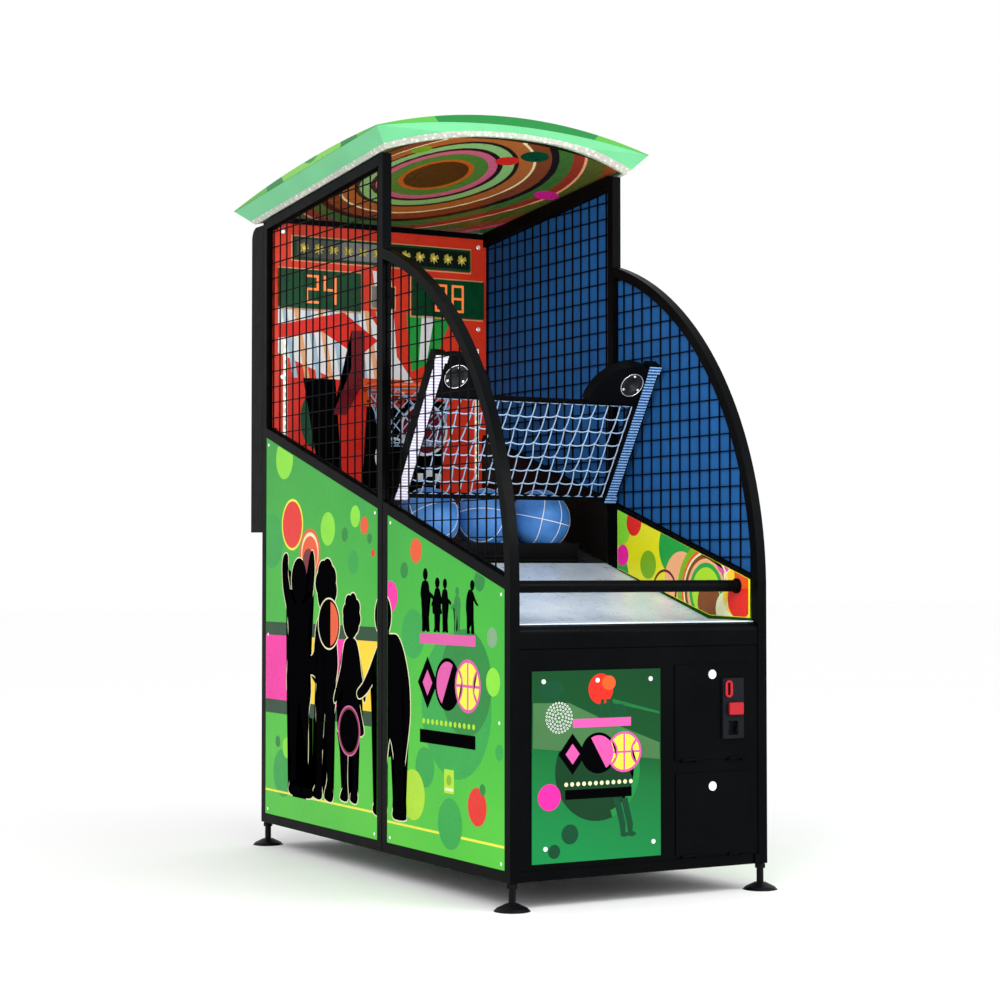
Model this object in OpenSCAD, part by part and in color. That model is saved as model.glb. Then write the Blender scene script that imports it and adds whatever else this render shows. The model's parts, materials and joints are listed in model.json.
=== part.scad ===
// Basketball hoop machine, child size. Front faces -Y, floor is Z = 0.
// Inside the modules Y = 0 is the front plane; at_origin() centres the whole machine.

/* [Cabinet] */
// Outside width over the side frames
body_w = 850; // [760:1:960]
// Depth from the front plane to the rear posts
body_d = 1668; // [1500:1:1900]
// Square steel tube size
tube_s = 30; // [24:1:40]
// Height of the frame above the floor
foot_h = 75; // [50:1:120]
// Where the front half ends and the rear half starts
split_y = 768; // [700:1:840]
// Top of the side panels at the front plane
panel_top = 853; // [800:1:920]
// Rise of the side rails for each unit of depth
rail_slope = 0.3075; // [0.2:0.0005:0.4]

/* [Roof] */
// Height of the front lower corners of the canopy
roof_z = 2176; // [2050:1:2300]
// Fall of the canopy towards the rear, degrees
roof_tilt = 5.4; // [0:0.1:10]
// How far the canopy flares out past its lower edge
roof_flare = 54; // [20:1:80]
// Rise of the lower arch at the middle of the front
arch_rise = 60; // [20:1:90]

/* [Play field] */
// Outer radius of the curved side tubes
arc_r = 1061; // [900:1:1200]
// Basketball diameter
ball_d = 195; // [185:1:205]
// Inner diameter of the hoop
hoop_d = 300; // [230:1:360]
// Height of the hoop above the floor
hoop_z = 1520; // [1400:1:1800]
// Side mesh pitch
mesh_p = 52; // [40:1:80]
// Lean of the light bars and the ball-stop net, degrees from upright
net_lean = 32.8; // [20:0.1:45]

/* [Hidden] */
$fn = 64;
wall = 2;
half_w = body_w / 2;
in_w = half_w - tube_s;
back_y = 1791.2;
front_y = -35;
mid_y = (front_y + back_y) / 2;
slope_a = atan(rail_slope);
rail_t = tube_s / cos(slope_a);
base_z = foot_h + tube_s;
arc_z = panel_top + 7;
net_y = 754;
net_z = 1125;
bar_x0 = 350;
bar_x1 = 392;
bar_l = 490;
net_top = 345;
gate_y = 882;
ramp_m = 0.3;
ramp_z0 = 691.5;
ramp_a = atan(ramp_m);
deck_end = 812;
gate_h = 45;
gate_drop = 13;
board_y = 1618;
board_top = 2078;
box_y0 = body_d + 2;
box_y1 = 1764;
box_z0 = 1040;
box_z1 = 2074;
coin_x = [108, 358];
coin_z = [380, 648];
cash_x = [110, 360];
cash_z = [112, 343];
lock_x = 233;
clear = 0.4;
roof_l = 988;
crown_r = 7560;
hinge_z = [1180, 1820];
feet = [[-1, 15], [1, 15], [-1, body_d - 22], [1, body_d - 22]];

function rail_z(y) = panel_top + rail_slope * y;
function rail_top(y) = rail_z(y) + rail_t;
function roof_at(y) = roof_z - (y - net_y) * tan(roof_tilt);
function ramp_at(y) = ramp_z0 + ramp_m * y;
function arc_radius(half, rise) = (half * half + rise * rise) / (2 * rise);

module at_origin() {
    translate([0, -mid_y, 0])
        children();
}

// 2D (y, z) drawing extruded along X from x0 over t
module side_plate(x0, t) {
    translate([x0, 0, 0])
        rotate([90, 0, 90])
            linear_extrude(t)
                children();
}

// 2D (x, z) drawing extruded along Y from y0 over t
module front_plate(y0, t) {
    translate([0, y0 + t, 0])
        rotate([90, 0, 0])
            linear_extrude(t)
                children();
}

module both_sides() {
    children();
    mirror([1, 0, 0])
        children();
}

module box(a, b) {
    translate(a)
        cube([b[0] - a[0], b[1] - a[1], b[2] - a[2]]);
}

// Hollow tube along one axis, open at its two ends
module tube_box(a, b, axis) {
    w = [for (i = [0:2]) i == axis ? -1 : wall];
    difference() {
        box(a, b);
        box(a + w, b - w);
    }
}

// Sloping side tube between two depths, lying on top of the side panels
module slope_tube(y0, y1) {
    difference() {
        side_plate(in_w, tube_s)
            polygon([[y0, rail_z(y0)], [y1, rail_z(y1)], [y1, rail_top(y1)], [y0, rail_top(y0)]]);
        side_plate(in_w + wall, tube_s - 2 * wall)
            polygon([[y0 - 1, rail_z(y0) + wall], [y1 + 1, rail_z(y1) + wall],
                [y1 + 1, rail_top(y1) - wall], [y0 - 1, rail_top(y0) - wall]]);
    }
}

// Upright with its top cut along the sloping rail
module upright(y0, z0) {
    difference() {
        tube_box([in_w, y0, z0], [half_w, y0 + tube_s, rail_top(y0 + tube_s)], 2);
        side_plate(in_w - 1, tube_s + 2)
            polygon([[y0 - 1, rail_top(y0 - 1)], [y0 + tube_s + 1, rail_top(y0 + tube_s + 1)],
                [y0 + tube_s + 1, rail_top(y0) + 60], [y0 - 1, rail_top(y0) + 60]]);
    }
}

// Threaded block that takes a levelling foot, with its bore
module foot_block(y) {
    difference() {
        box([in_w - 12, max(y - 22, 0), foot_h], [half_w - wall, min(y + 22, body_d), foot_h + 28]);
        translate([half_w - 15, y, foot_h - 1])
            cylinder(d = 20.8, h = 30);
    }
}

module front_frame() {
    color("#17181a") {
        difference() {
            union() {
                both_sides() {
                    upright(0, foot_h);
                    upright(split_y - 2 - tube_s, foot_h);
                    slope_tube(tube_s, split_y - 2 - tube_s);
                    tube_box([in_w, tube_s, foot_h], [half_w, split_y - 2 - tube_s, base_z], 1);
                }
                tube_box([-in_w, 6, foot_h], [in_w, tube_s, base_z], 0);
                tube_box([-in_w, 6, 664], [in_w, tube_s, 700], 0);
                tube_box([75, 6, base_z], [100, tube_s, 664], 2);
                tube_box([100, 6, 348], [in_w, tube_s, 374], 0);
                tube_box([-in_w, 736, 850], [in_w, 766, 880], 0);
                tube_box([-in_w, 736, foot_h], [in_w, 766, base_z], 0);
            }
            both_sides()
                box([in_w - 13, -1, foot_h - 1], [half_w - wall, 37, foot_h + 28]);
        }
        both_sides()
            foot_block(feet[0][1]);
    }
}

module rear_frame() {
    y0 = split_y + 2;
    y1 = body_d - tube_s;
    color("#17181a") {
        difference() {
            union() {
                both_sides() {
                    tube_box([in_w, y0, foot_h], [half_w, y0 + tube_s, roof_at(y0) - 4], 2);
                    tube_box([in_w, y1, foot_h], [half_w, body_d, roof_at(body_d) - 4], 2);
                    slope_tube(y0 + tube_s, y1);
                    tube_box([in_w, y0 + tube_s, foot_h], [half_w, y1, base_z], 1);
                    top_tube(y0 + tube_s, y1);
                }
                tube_box([-in_w, y0, foot_h], [in_w, y0 + tube_s, base_z], 0);
                tube_box([-in_w, y1, foot_h], [in_w, body_d, base_z], 0);
                tube_box([-in_w, y1, 1180], [in_w, body_d, 1210], 0);
                tube_box([-in_w, y1, 2040], [in_w, body_d, 2070], 0);
                tube_box([-in_w, board_y - 6, board_top + 1], [in_w, board_y + 20, 2097], 0);
                both_sides()
                    side_plate(in_w, 21)
                        polygon([[y0 + tube_s, roof_at(y0 + tube_s) - 4], [y1, roof_at(y1) - 4],
                            [y1, roof_at(y1) + 6], [y0 + tube_s, roof_at(y0 + tube_s) + 6]]);
            }
            both_sides()
                box([in_w - 13, body_d - 45, foot_h - 1], [half_w - wall, body_d + 1, foot_h + 28]);
        }
        both_sides()
            foot_block(feet[2][1]);
    }
}

module top_tube(y0, y1) {
    d = tube_s + 2;
    difference() {
        side_plate(in_w, tube_s)
            polygon([[y0, roof_at(y0) - 4 - d], [y1, roof_at(y1) - 4 - d],
                [y1, roof_at(y1) - 4], [y0, roof_at(y0) - 4]]);
        side_plate(in_w + wall, tube_s - 2 * wall)
            polygon([[y0 - 1, roof_at(y0) - 2 - d], [y1 + 1, roof_at(y1) - 2 - d],
                [y1 + 1, roof_at(y1) - 6], [y0 - 1, roof_at(y0) - 6]]);
    }
}

module arc_ring(r0, r1) {
    difference() {
        translate([arc_r, arc_z])
            circle(r = r1, $fn = 180);
        translate([arc_r, arc_z])
            circle(r = r0, $fn = 180);
    }
}

module arc_limit() {
    polygon([[-10, rail_top(-10)], [split_y + 2, rail_top(split_y + 2)], [split_y + 2, 2100], [-10, 2100]]);
}

module arc_tubes() {
    color("#1b1c1f")
        both_sides()
            difference() {
                side_plate(in_w, tube_s)
                    intersection() {
                        arc_ring(arc_r - tube_s, arc_r);
                        arc_limit();
                    }
                side_plate(in_w + wall, tube_s - 2 * wall)
                    intersection() {
                        arc_ring(arc_r - tube_s + wall, arc_r - wall);
                        arc_limit();
                    }
            }
}

module panel_shape(y0, y1) {
    polygon([[y0, base_z + 1], [y1, base_z + 1], [y1, rail_z(y1) - 1], [y0, rail_z(y0) - 1]]);
}

module panel_front() {
    color("#3fb54a")
        both_sides()
            side_plate(half_w - 6, 5)
                panel_shape(tube_s + 1, split_y - 3 - tube_s);
}

module panel_rear() {
    color("#3fb54a")
        both_sides()
            side_plate(half_w - 6, 5)
                panel_shape(split_y + 3 + tube_s, body_d - tube_s - 1);
}

module front_bay(m) {
    intersection() {
        translate([arc_r, arc_z])
            circle(r = arc_r - tube_s - m, $fn = 180);
        polygon([[tube_s - 8 + m, rail_top(tube_s - 8) + m], [split_y + 2 - m, rail_top(split_y + 2) + m],
            [split_y + 2 - m, 2100], [tube_s - 8 + m, 2100]]);
    }
}

module rear_bay(m) {
    y0 = split_y + 2 + tube_s + m;
    y1 = body_d - tube_s - m;
    polygon([[y0, rail_top(y0) + m], [y1, rail_top(y1) + m],
        [y1, roof_at(y1) - 36 - m], [y0, roof_at(y0) - 36 - m]]);
}

module wires() {
    for (y = [mesh_p:mesh_p:body_d])
        translate([y - 1.6, 850])
            square([3.2, 1350]);
    for (z = [900:mesh_p:2180])
        translate([0, z - 1.6])
            square([body_d, 3.2]);
}

module mesh_bay(x0) {
    side_plate(x0, 4) {
        intersection() {
            front_bay(0.5);
            wires();
        }
        difference() {
            front_bay(0.5);
            front_bay(5);
        }
    }
    side_plate(x0, 4) {
        intersection() {
            rear_bay(0.5);
            wires();
        }
        difference() {
            rear_bay(0.5);
            rear_bay(5);
        }
    }
}

module mesh_left() {
    color("#121314")
        mesh_bay(-half_w + 13);
}

module mesh_right() {
    color("#121314")
        mesh_bay(half_w - 17);
}

module screen_right() {
    color("#1c4f8c") {
        side_plate(half_w - 11, 2)
            front_bay(1);
        side_plate(half_w - 11, 2)
            rear_bay(1);
    }
}

// Printed boards that line the throwing area in front of the split
module inner_panels() {
    y1 = split_y - 3 - tube_s;
    color("#e8c93a")
        both_sides()
            side_plate(in_w - 6, 5)
                polygon([[36, 776], [230, 780], [y1, ramp_at(y1) + 6], [y1, rail_top(y1) - 8],
                    [36, rail_top(36) - 8]]);
}

// Black boards beside the ball ramp
module cheeks() {
    y0 = split_y + 4 + tube_s;
    y1 = board_y - 2;
    color("#1d1c1b")
        both_sides()
            side_plate(in_w - 6, 5)
                polygon([[y0, ramp_at(y0) + 4], [y1, ramp_at(y1) + 4], [y1, rail_top(y1) - 4],
                    [y0, rail_top(y0) - 4]]);
}

function deck_line(t) = [[22, 768 - t], [245, 770 - t], [deck_end, ramp_at(deck_end) - t]];

module deck() {
    a = deck_line(0);
    b = deck_line(3);
    color("#c9d4e0")
        side_plate(-in_w + 1, 2 * in_w - 2)
            polygon([a[0], a[1], a[2], b[2], b[1], b[0]]);
}

module deck_lip() {
    color("#151618")
        side_plate(-in_w + 1, 2 * in_w - 2)
            difference() {
                union() {
                    translate([2, 701])
                        square([44, 40]);
                    translate([24, 741])
                        circle(r = 22);
                    translate([24, 741])
                        square([22, 22]);
                }
                translate([8, 707])
                    square([32, 30]);
            }
}

module hand_rail() {
    color("#141516") {
        translate([-in_w + 12, 92, 868])
            rotate([0, 90, 0])
                cylinder(d = 34, h = 2 * in_w - 24);
        both_sides()
            translate([in_w - 12, 92, 868])
                rotate([0, 90, 0])
                    cylinder(d = 44, h = 5.5);
    }
}

// Black ramp that carries the balls down to the gate, with side guides
module ball_ramp() {
    y0 = gate_y + 8;
    y1 = board_y - 2;
    y2 = deck_end + 2;
    color("#232323") {
        side_plate(-in_w + 1, 2 * in_w - 2)
            polygon([[y0, ramp_at(y0)], [y1, ramp_at(y1)], [y1, ramp_at(y1) - 9], [y0, ramp_at(y0) - 9]]);
        difference() {
            both_sides()
                side_plate(332, 56)
                    polygon([[y2, ramp_at(y2)], [y0 + 20, ramp_at(y0 + 20)],
                        [y0 + 20, ramp_at(y0 + 20) - 26], [y2, ramp_at(y2) - 26]]);
            translate([-353, gate_y, ramp_at(gate_y) - gate_drop])
                rotate([0, 90, 0])
                    cylinder(d = 10.12, h = 706);
        }
    }
}

// Gate leaf and its shaft; it folds forward to let the balls roll down
module ball_gate() {
    translate([0, gate_y, ramp_at(gate_y) - gate_drop]) {
        color("#1a1a1a")
            rotate([ramp_a, 0, 0])
                box([-326, -2, 0], [326, 2, gate_h + gate_drop]);
        color("#8b8f94")
            translate([-352, 0, 0])
                rotate([0, 90, 0])
                    cylinder(d = 10, h = 704);
    }
}

module gate_motor() {
    z = ramp_at(gate_y) - gate_drop;
    color("#5d6166") {
        difference() {
            box([-391, gate_y - 34, z - 46], [-354, gate_y + 30, z - 27]);
            box([-380, gate_y - 35, z - 47], [-370, gate_y - 20, z - 40]);
        }
        translate([-373, gate_y - 10, z - 81])
            cylinder(d = 34, h = 36);
    }
}

module ball_at(i) {
    reach = 2.6 + sqrt(ball_d * gate_h - gate_h * gate_h);
    foot = gate_y - gate_drop * sin(ramp_a) + reach * cos(ramp_a);
    n = ball_d / 2 + clear;
    color("#2450a8")
        translate([219 - i * (ball_d + 6), foot - n * sin(ramp_a), ramp_at(foot) + n * cos(ramp_a)])
            sphere(d = ball_d);
}

module ball_1() {
    ball_at(0);
}

module ball_2() {
    ball_at(1);
}

module ball_3() {
    ball_at(2);
}

module backboard() {
    color("#c8201c")
        front_plate(board_y, 12)
            difference() {
                union() {
                    translate([-in_w + 1, ramp_at(board_y) - 4])
                        square([2 * in_w - 2, board_top - ramp_at(board_y) + 4]);
                    translate([-in_w - 11, 1388])
                        square([2 * in_w + 22, 664]);
                }
                for (x = [-60, 60], z = [-30, 30])
                    translate([x, hoop_z + z])
                        circle(d = 9);
            }
}

module message_strip() {
    color("#1c2416")
        front_plate(board_y - 11, 10)
            difference() {
                translate([-338, 1959])
                    square([676, 76]);
                for (i = [0:11])
                    translate([-302.5 + i * 55, 1997])
                        circle(d = 4, $fn = 16);
            }
}

// Display box with two framed digit windows
module digit_box(x0, x1, z0, z1) {
    front_plate(board_y - 13, 12)
        translate([x0, z0])
            square([x1 - x0, z1 - z0]);
    for (i = [0:1])
        front_plate(board_y - 16, 3)
            difference() {
                translate([(x0 + x1) / 2 - 62 + i * 66, z0 + 12])
                    square([58, z1 - z0 - 24]);
                translate([(x0 + x1) / 2 - 54 + i * 66, z0 + 20])
                    square([42, z1 - z0 - 40]);
            }
}

module time_display() {
    color("#0f5a34")
        digit_box(-392, -90, 1795, 1925);
}

module score_display() {
    color("#0f5a34")
        digit_box(110, 391, 1795, 1925);
}

module led_strips() {
    color("#e9efe2")
        both_sides()
            front_plate(board_y - 5, 4)
                translate([360, 1200 + 30])
                    square([14, 460]);
}

module hoop_rim() {
    color("#d0481c")
        translate([0, board_y - 62 - hoop_d / 2, hoop_z])
            rotate_extrude($fn = 96)
                translate([hoop_d / 2 + 8, 0])
                    circle(d = 16, $fn = 32);
}

module hoop_bracket() {
    y = board_y - 62;
    color("#b53a18") {
        difference() {
            front_plate(board_y - 7, 6)
                translate([-80, hoop_z - 48])
                    square([160, 96]);
            for (x = [-60, 60], z = [-30, 30])
                translate([x, board_y + 1, hoop_z + z])
                    rotate([90, 0, 0])
                        cylinder(d = 9, h = 12);
        }
        for (x = [-50, 44])
            side_plate(x, 6)
                polygon([[y + 20, hoop_z - 4], [board_y - 7, hoop_z - 40], [board_y - 7, hoop_z + 6],
                    [y + 20, hoop_z + 6]]);
        box([-50, y + 20, hoop_z - 4], [50, board_y - 7, hoop_z + 2]);
    }
}

module hoop_net() {
    r0 = hoop_d / 2 - 2;
    color("#eef0f2")
        translate([0, board_y - 62 - hoop_d / 2, 0])
            rotate_extrude($fn = 64)
                polygon([[r0, hoop_z - 10], [r0 - 36, hoop_z - 190], [r0 - 39, hoop_z - 190],
                    [r0 - 3, hoop_z - 10]]);
}

// Frame of the leaning net: origin at the foot of the light bars
module net_frame() {
    translate([0, net_y, net_z])
        rotate([net_lean, 0, 0])
            children();
}

module net_bars() {
    color("#141414")
        net_frame() {
            box([-bar_x0 + 1, 8, 2], [bar_x0 - 1, 24, 14]);
            box([-bar_x0 + 1, 8, net_top], [bar_x0 - 1, 24, net_top + 9]);
        }
}

module ball_net() {
    color("#cfe0ee")
        net_frame()
            translate([0, 18, 0])
                rotate([90, 0, 0])
                    linear_extrude(4) {
                        for (i = [-7:7])
                            translate([i * 49 - 1.5, 14.5])
                                square([3, net_top - 15]);
                        for (j = [0:6])
                            translate([-346, 20 + j * 53 - 1.5])
                                square([692, 3]);
                    }
}

module light_channels() {
    color("#101112")
        net_frame()
            both_sides()
                difference() {
                    box([bar_x0, 0, 0], [bar_x1, 38, bar_l]);
                    box([bar_x0 + 3, -1, 10], [bar_x1 - 3, 30, bar_l - 10]);
                }
}

module light_lenses() {
    color("#cfe4f7")
        net_frame()
            both_sides() {
                box([bar_x0 + 3.2, 2, 10.2], [bar_x1 - 3.2, 6, bar_l - 10.2]);
                box([bar_x0 + 0.5, -4, 1], [bar_x1 - 0.5, -0.5, 24]);
                box([bar_x0 + 0.5, -4, bar_l - 24], [bar_x1 - 0.5, -0.5, bar_l - 1]);
            }
}

module pod_shape(m) {
    intersection() {
        translate([306, net_top + 6])
            circle(r = 134 - m, $fn = 96);
        translate([170, net_top + 10 + m])
            square([bar_x0 - 171 - m, 140]);
    }
}

module speaker_pods() {
    color("#0e0f10")
        net_frame()
            both_sides()
                difference() {
                    front_plate(2, 40)
                        pod_shape(0);
                    front_plate(5, 38)
                        pod_shape(3);
                    translate([306, 50, 424])
                        rotate([90, 0, 0])
                            cylinder(d = 62, h = 60);
                }
}

module speaker_body() {
    rotate([90, 0, 0])
        difference() {
            union() {
                cylinder(d = 72, h = 5);
                translate([0, 0, -18])
                    cylinder(d = 56, h = 18);
            }
            translate([0, 0, -12])
                cylinder(d1 = 20, d2 = 54, h = 20);
        }
}

module speakers() {
    color("#24262a") {
        net_frame()
            both_sides()
                translate([306, 1.5, 424])
                    speaker_body();
        translate([-272, 16, 513])
            speaker_body();
    }
}

// Canopy frame: origin at the middle of its lower front edge, falling to the rear
module roof_frame() {
    translate([0, 742, roof_z])
        rotate([-roof_tilt, 0, 0])
            children();
}

// Flared block of the canopy, drawn in by t on every side
module flared(t) {
    a = half_w + 5 - t;
    f = roof_flare;
    intersection() {
        front_plate(-300, 1600)
            polygon([[-a, 0], [a, 0], [a + f, f], [a + f, 300], [-a - f, 300], [-a - f, f]]);
        side_plate(-700, 1400)
            polygon([[t, 0], [roof_l - t, 0], [roof_l - t + f, f], [roof_l - t + f, 300],
                [t - f, 300], [t - f, f]]);
    }
}

// Everything below an arch seen from the front: half span, rise and edge height
module under_arch(half, rise, z) {
    r = arc_radius(half, rise);
    front_plate(-200, 1400)
        intersection() {
            translate([0, z + rise - r])
                circle(r = r, $fn = 240);
            translate([-600, -50])
                square([1200, 400]);
        }
}

// Crowned roof surface, curved in both directions
module crown(t) {
    half = half_w + 5 + roof_flare;
    rise = 72;
    r = arc_radius(half, rise);
    top = 74 + rise - t;
    translate([0, roof_l / 2, top - crown_r])
        rotate([0, 90, 0])
            rotate([0, 0, 173])
                rotate_extrude(angle = 14, $fn = 1440)
                    intersection() {
                        translate([crown_r - r, 0])
                            circle(r = r, $fn = 480);
                        translate([crown_r - 260, -560])
                            square([300, 1120]);
                    }
}

module canopy_shell() {
    color("#2f9e45")
        roof_frame()
            difference() {
                intersection() {
                    flared(0);
                    crown(0);
                }
                intersection() {
                    flared(5);
                    crown(5);
                }
                under_arch(half_w + 59, 47, 52.3);
            }
}

module canopy_fascia() {
    color("#7ff0b8")
        roof_frame()
            difference() {
                intersection() {
                    flared(0.5);
                    under_arch(half_w + 59, 47, 52);
                }
                flared(5);
                under_arch(half_w + 5, arch_rise, 16.3);
            }
}

module canopy_trim() {
    color("#f4f6f4")
        roof_frame()
            difference() {
                intersection() {
                    flared(0);
                    under_arch(half_w + 5, arch_rise, 16);
                }
                flared(12);
                under_arch(half_w + 5, arch_rise, 0);
            }
}

// Printed sheet sprung along the arch at the front and held straight at the back
module canopy_ceiling() {
    n = 24;
    w = half_w - 12;
    r = arc_radius(half_w + 5, arch_rise);
    xs = [for (i = [0:n]) -w + 2 * w * i / n];
    zs = [for (x = xs) arch_rise - r + sqrt(r * r - x * x) + 8];
    m = n + 1;
    pts = concat([for (i = [0:n]) [xs[i], 14, zs[i]]], [for (i = [0:n]) [xs[i], 905, 10]],
        [for (i = [0:n]) [xs[i], 905, 14]], [for (i = [0:n]) [xs[i], 14, zs[i] + 4]]);
    bands = [for (k = [0:3], i = [0:n - 1])
        let (a = k * m + i, b = (k + 1) % 4 * m + i)
        for (f = k < 2 ? [[a, a + 1, b + 1], [a, b + 1, b]] : [[a, a + 1, b], [a + 1, b + 1, b]]) f];
    color("#8a4a2a")
        roof_frame()
            polyhedron(pts, concat(bands, [[0, m, 2 * m, 3 * m], [4 * m - 1, 3 * m - 1, 2 * m - 1, n]]));
}

module back_panel() {
    color("#1d1e20")
        front_plate(body_d - 8, 5)
            difference() {
                translate([-in_w + 1, base_z + 1])
                    square([2 * in_w - 2, 1178 - base_z]);
                for (i = [0:7])
                    translate([-60, 300 + i * 20])
                        square([120, 6]);
            }
}

module base_board() {
    color("#2a251f")
        difference() {
            box([-in_w + 1, tube_s + 1, foot_h + 8], [in_w - 1, split_y - 3 - tube_s, foot_h + 26]);
            both_sides()
                box([in_w - 14, 0, foot_h], [in_w, 40, foot_h + 40]);
        }
}

module rear_box() {
    color("#141517") {
        for (z = hinge_z) {
            translate([-half_w + 22, box_y1 + 5, z - 5])
                cylinder(d = 2.9, h = 70);
            for (e = [-5, 60.5])
                box([-half_w + 18, box_y1 - 0.5, z + e], [-half_w + 23.5, box_y1 + 8, z + e + 4.5]);
        }
        difference() {
            side_plate(-half_w, body_w)
                intersection() {
                    translate([box_y0, box_z0])
                        square([box_y1 - box_y0, box_z1 - box_z0]);
                    union() {
                        translate([box_y0, box_z0])
                            square([box_y1 - box_y0, box_z1 - box_z0 - 40]);
                        translate([box_y0, box_z0])
                            square([box_y1 - box_y0 - 40, box_z1 - box_z0]);
                        translate([box_y1 - 40, box_z1 - 40])
                            circle(r = 40);
                    }
                }
            box([-half_w + 2, box_y0 - 1, box_z0 + 2], [half_w - 2, box_y1 - 2, box_z1 - 2]);
            box([-half_w + 24, box_y1 - 4, box_z0 + 24], [half_w - 24, box_y1 + 4, box_z1 - 60]);
        }
    }
}

module rear_door() {
    color("#1a1b1e") {
        difference() {
            front_plate(box_y1 - 2, 3)
                translate([-half_w + 25, box_z0 + 25])
                    square([body_w - 50, box_z1 - box_z0 - 86]);
            for (i = [0:9], s = [-1, 1])
                box([s * 150 - 70, box_y1 - 4, 1180 + i * 24], [s * 150 + 70, box_y1 + 4, 1186 + i * 24]);
            translate([half_w - 60, box_y1 + 5, 1600])
                rotate([90, 0, 0])
                    cylinder(d = 20.4, h = 20);
        }
        for (z = hinge_z)
            translate([-half_w + 22, box_y1 + 5, z])
                difference() {
                    union() {
                        cylinder(d = 8, h = 60);
                        box([0, -4, 0], [14, -1, 60]);
                    }
                    translate([0, 0, -1])
                        cylinder(d = 3.02, h = 62);
                }
    }
}

// Cam lock with a keyway and a tail behind the door
module cam_lock(tail) {
    rotate([90, 0, 0])
        difference() {
            union() {
                cylinder(d = 26, h = 3);
                translate([0, 0, -16])
                    cylinder(d = 20, h = 16);
                translate([-8, -8, -20])
                    cube([16, tail + 8, 4]);
            }
            translate([-1.2, -5, 1])
                cube([2.4, 10, 4]);
        }
}

module rear_lock() {
    color("#c9ccd0")
        translate([half_w - 60, box_y1 + 1.4, 1600])
            rotate([0, 0, 180])
                cam_lock(42);
}

module power_inlet() {
    color("#202124")
        difference() {
            box([250, body_d + 0.5, 78], [312, body_d + 8, 104]);
            box([258, body_d + 2, 84], [286, body_d + 9, 98]);
            box([292, body_d + 5, 85], [306, body_d + 9, 97]);
        }
}

module power_supply() {
    color("#b9bdc2")
        difference() {
            box([-300, body_d + 4, 1280], [-90, body_d + 54, 1390]);
            for (i = [0:7])
                box([-285 + i * 24, body_d + 50, 1296], [-273 + i * 24, body_d + 56, 1374]);
        }
}

module control_board() {
    color("#1f6b3a") {
        box([60, body_d + 20, 1300], [280, body_d + 22, 1480]);
        for (x = [70, 270], z = [1310, 1470])
            translate([x, body_d + 20, z])
                rotate([90, 0, 0])
                    cylinder(d = 8, h = 16);
    }
    color("#22242a") {
        box([120, body_d + 22, 1370], [160, body_d + 26, 1410]);
        box([190, body_d + 22, 1350], [250, body_d + 34, 1364]);
    }
}

// Front facing strips around the window and the two doors, with the hinge pins
module front_fascia() {
    x = [-in_w + 1, -348, 49, coin_x[0] + 8, coin_x[1] - 8, in_w - 1];
    g = 0.3;
    color("#161719") {
        hinge_pins(lock_x, coin_z[0]);
        hinge_pins(lock_x, cash_z[0]);
        front_plate(3, 2.8) {
            for (i = [0, 2, 4])
                translate([x[i], base_z + 1])
                    square([x[i + 1] - x[i], 592]);
            for (z = [[base_z + 1, 130], [631, 698]])
                translate([x[1] + g, z[0]])
                    square([x[2] - x[1] - 2 * g, z[1] - z[0]]);
            for (z = [[base_z + 1, 120], [335, 388], [640, 698]])
                translate([x[3] + g, z[0]])
                    square([x[4] - x[3] - 2 * g, z[1] - z[0]]);
        }
    }
}

module window() {
    color("#2fa257")
        front_plate(-1, 3.9)
            difference() {
                translate([-357, 121])
                    square([415, 519]);
                for (a = [0:60:300], r = [14, 28, 40])
                    translate([-272 + r * cos(a + r), 513 + r * sin(a + r)])
                        circle(d = 6, $fn = 16);
                translate([-272, 513])
                    circle(d = 6, $fn = 16);
                for (x = [-322, -150, 24])
                    translate([x, 612])
                        circle(d = 5.2, $fn = 24);
                for (x = [-317, 32])
                    translate([x, 161])
                        circle(d = 5.2, $fn = 24);
            }
}

module screw() {
    rotate([90, 0, 0]) {
        cylinder(d = 13, h = 3);
        translate([0, 0, -12])
            cylinder(d = 5, h = 12);
    }
}

module window_screws() {
    color("#d8dade") {
        for (x = [-322, -150, 24])
            translate([x, -1, 612])
                screw();
        for (x = [-317, 32])
            translate([x, -1, 161])
                screw();
    }
}

// Two hinge barrels on the lower edge of a front door
module door_hinge(x, z) {
    for (s = [-80, 80])
        translate([x + s - 20, -3.5, z + 1])
            rotate([0, 90, 0])
                difference() {
                    cylinder(d = 6, h = 40);
                    translate([0, 0, -1])
                        cylinder(d = 2.52, h = 42);
                }
}

// Tabs and pins on the fascia that carry those barrels
module hinge_pins(x, z) {
    for (s = [-80, 80]) {
        translate([x + s - 24, -3.5, z + 1])
            rotate([0, 90, 0])
                cylinder(d = 2.4, h = 48);
        for (e = [-24, 20.5]) {
            box([x + s + e, -6.5, z - 7], [x + s + e + 3.5, -1.3, z + 2.4]);
            box([x + s + e, -1.4, z - 7], [x + s + e + 3.5, 3.2, z - 0.6]);
        }
    }
}

module coin_door() {
    color("#1b1c1f") {
        front_plate(-0.6, 3.2)
            difference() {
                translate([coin_x[0], coin_z[0]])
                    square([coin_x[1] - coin_x[0], coin_z[1] - coin_z[0]]);
                translate([lock_x, 619])
                    circle(d = 20.4);
                translate([274, 443])
                    square([56, 157]);
            }
        door_hinge(lock_x, coin_z[0]);
    }
}

module coin_lock() {
    color("#e3e5e8")
        translate([lock_x, -1, 619])
            rotate([0, -90, 0])
                cam_lock(36);
}

module coin_bezel() {
    color("#0f0f10")
        front_plate(-8.6, 7.8)
            difference() {
                translate([266, 436])
                    square([72, 171]);
                translate([281, 560])
                    square([8, 34]);
                translate([306, 521])
                    circle(d = 20.6);
                translate([284, 446])
                    square([34, 40]);
            }
    color("#b3161a")
        front_plate(-10.8, 2)
            difference() {
                hull()
                    for (z = [565, 589])
                        translate([285, z])
                            circle(d = 28);
                translate([281, 560])
                    square([8, 34]);
            }
}

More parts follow.
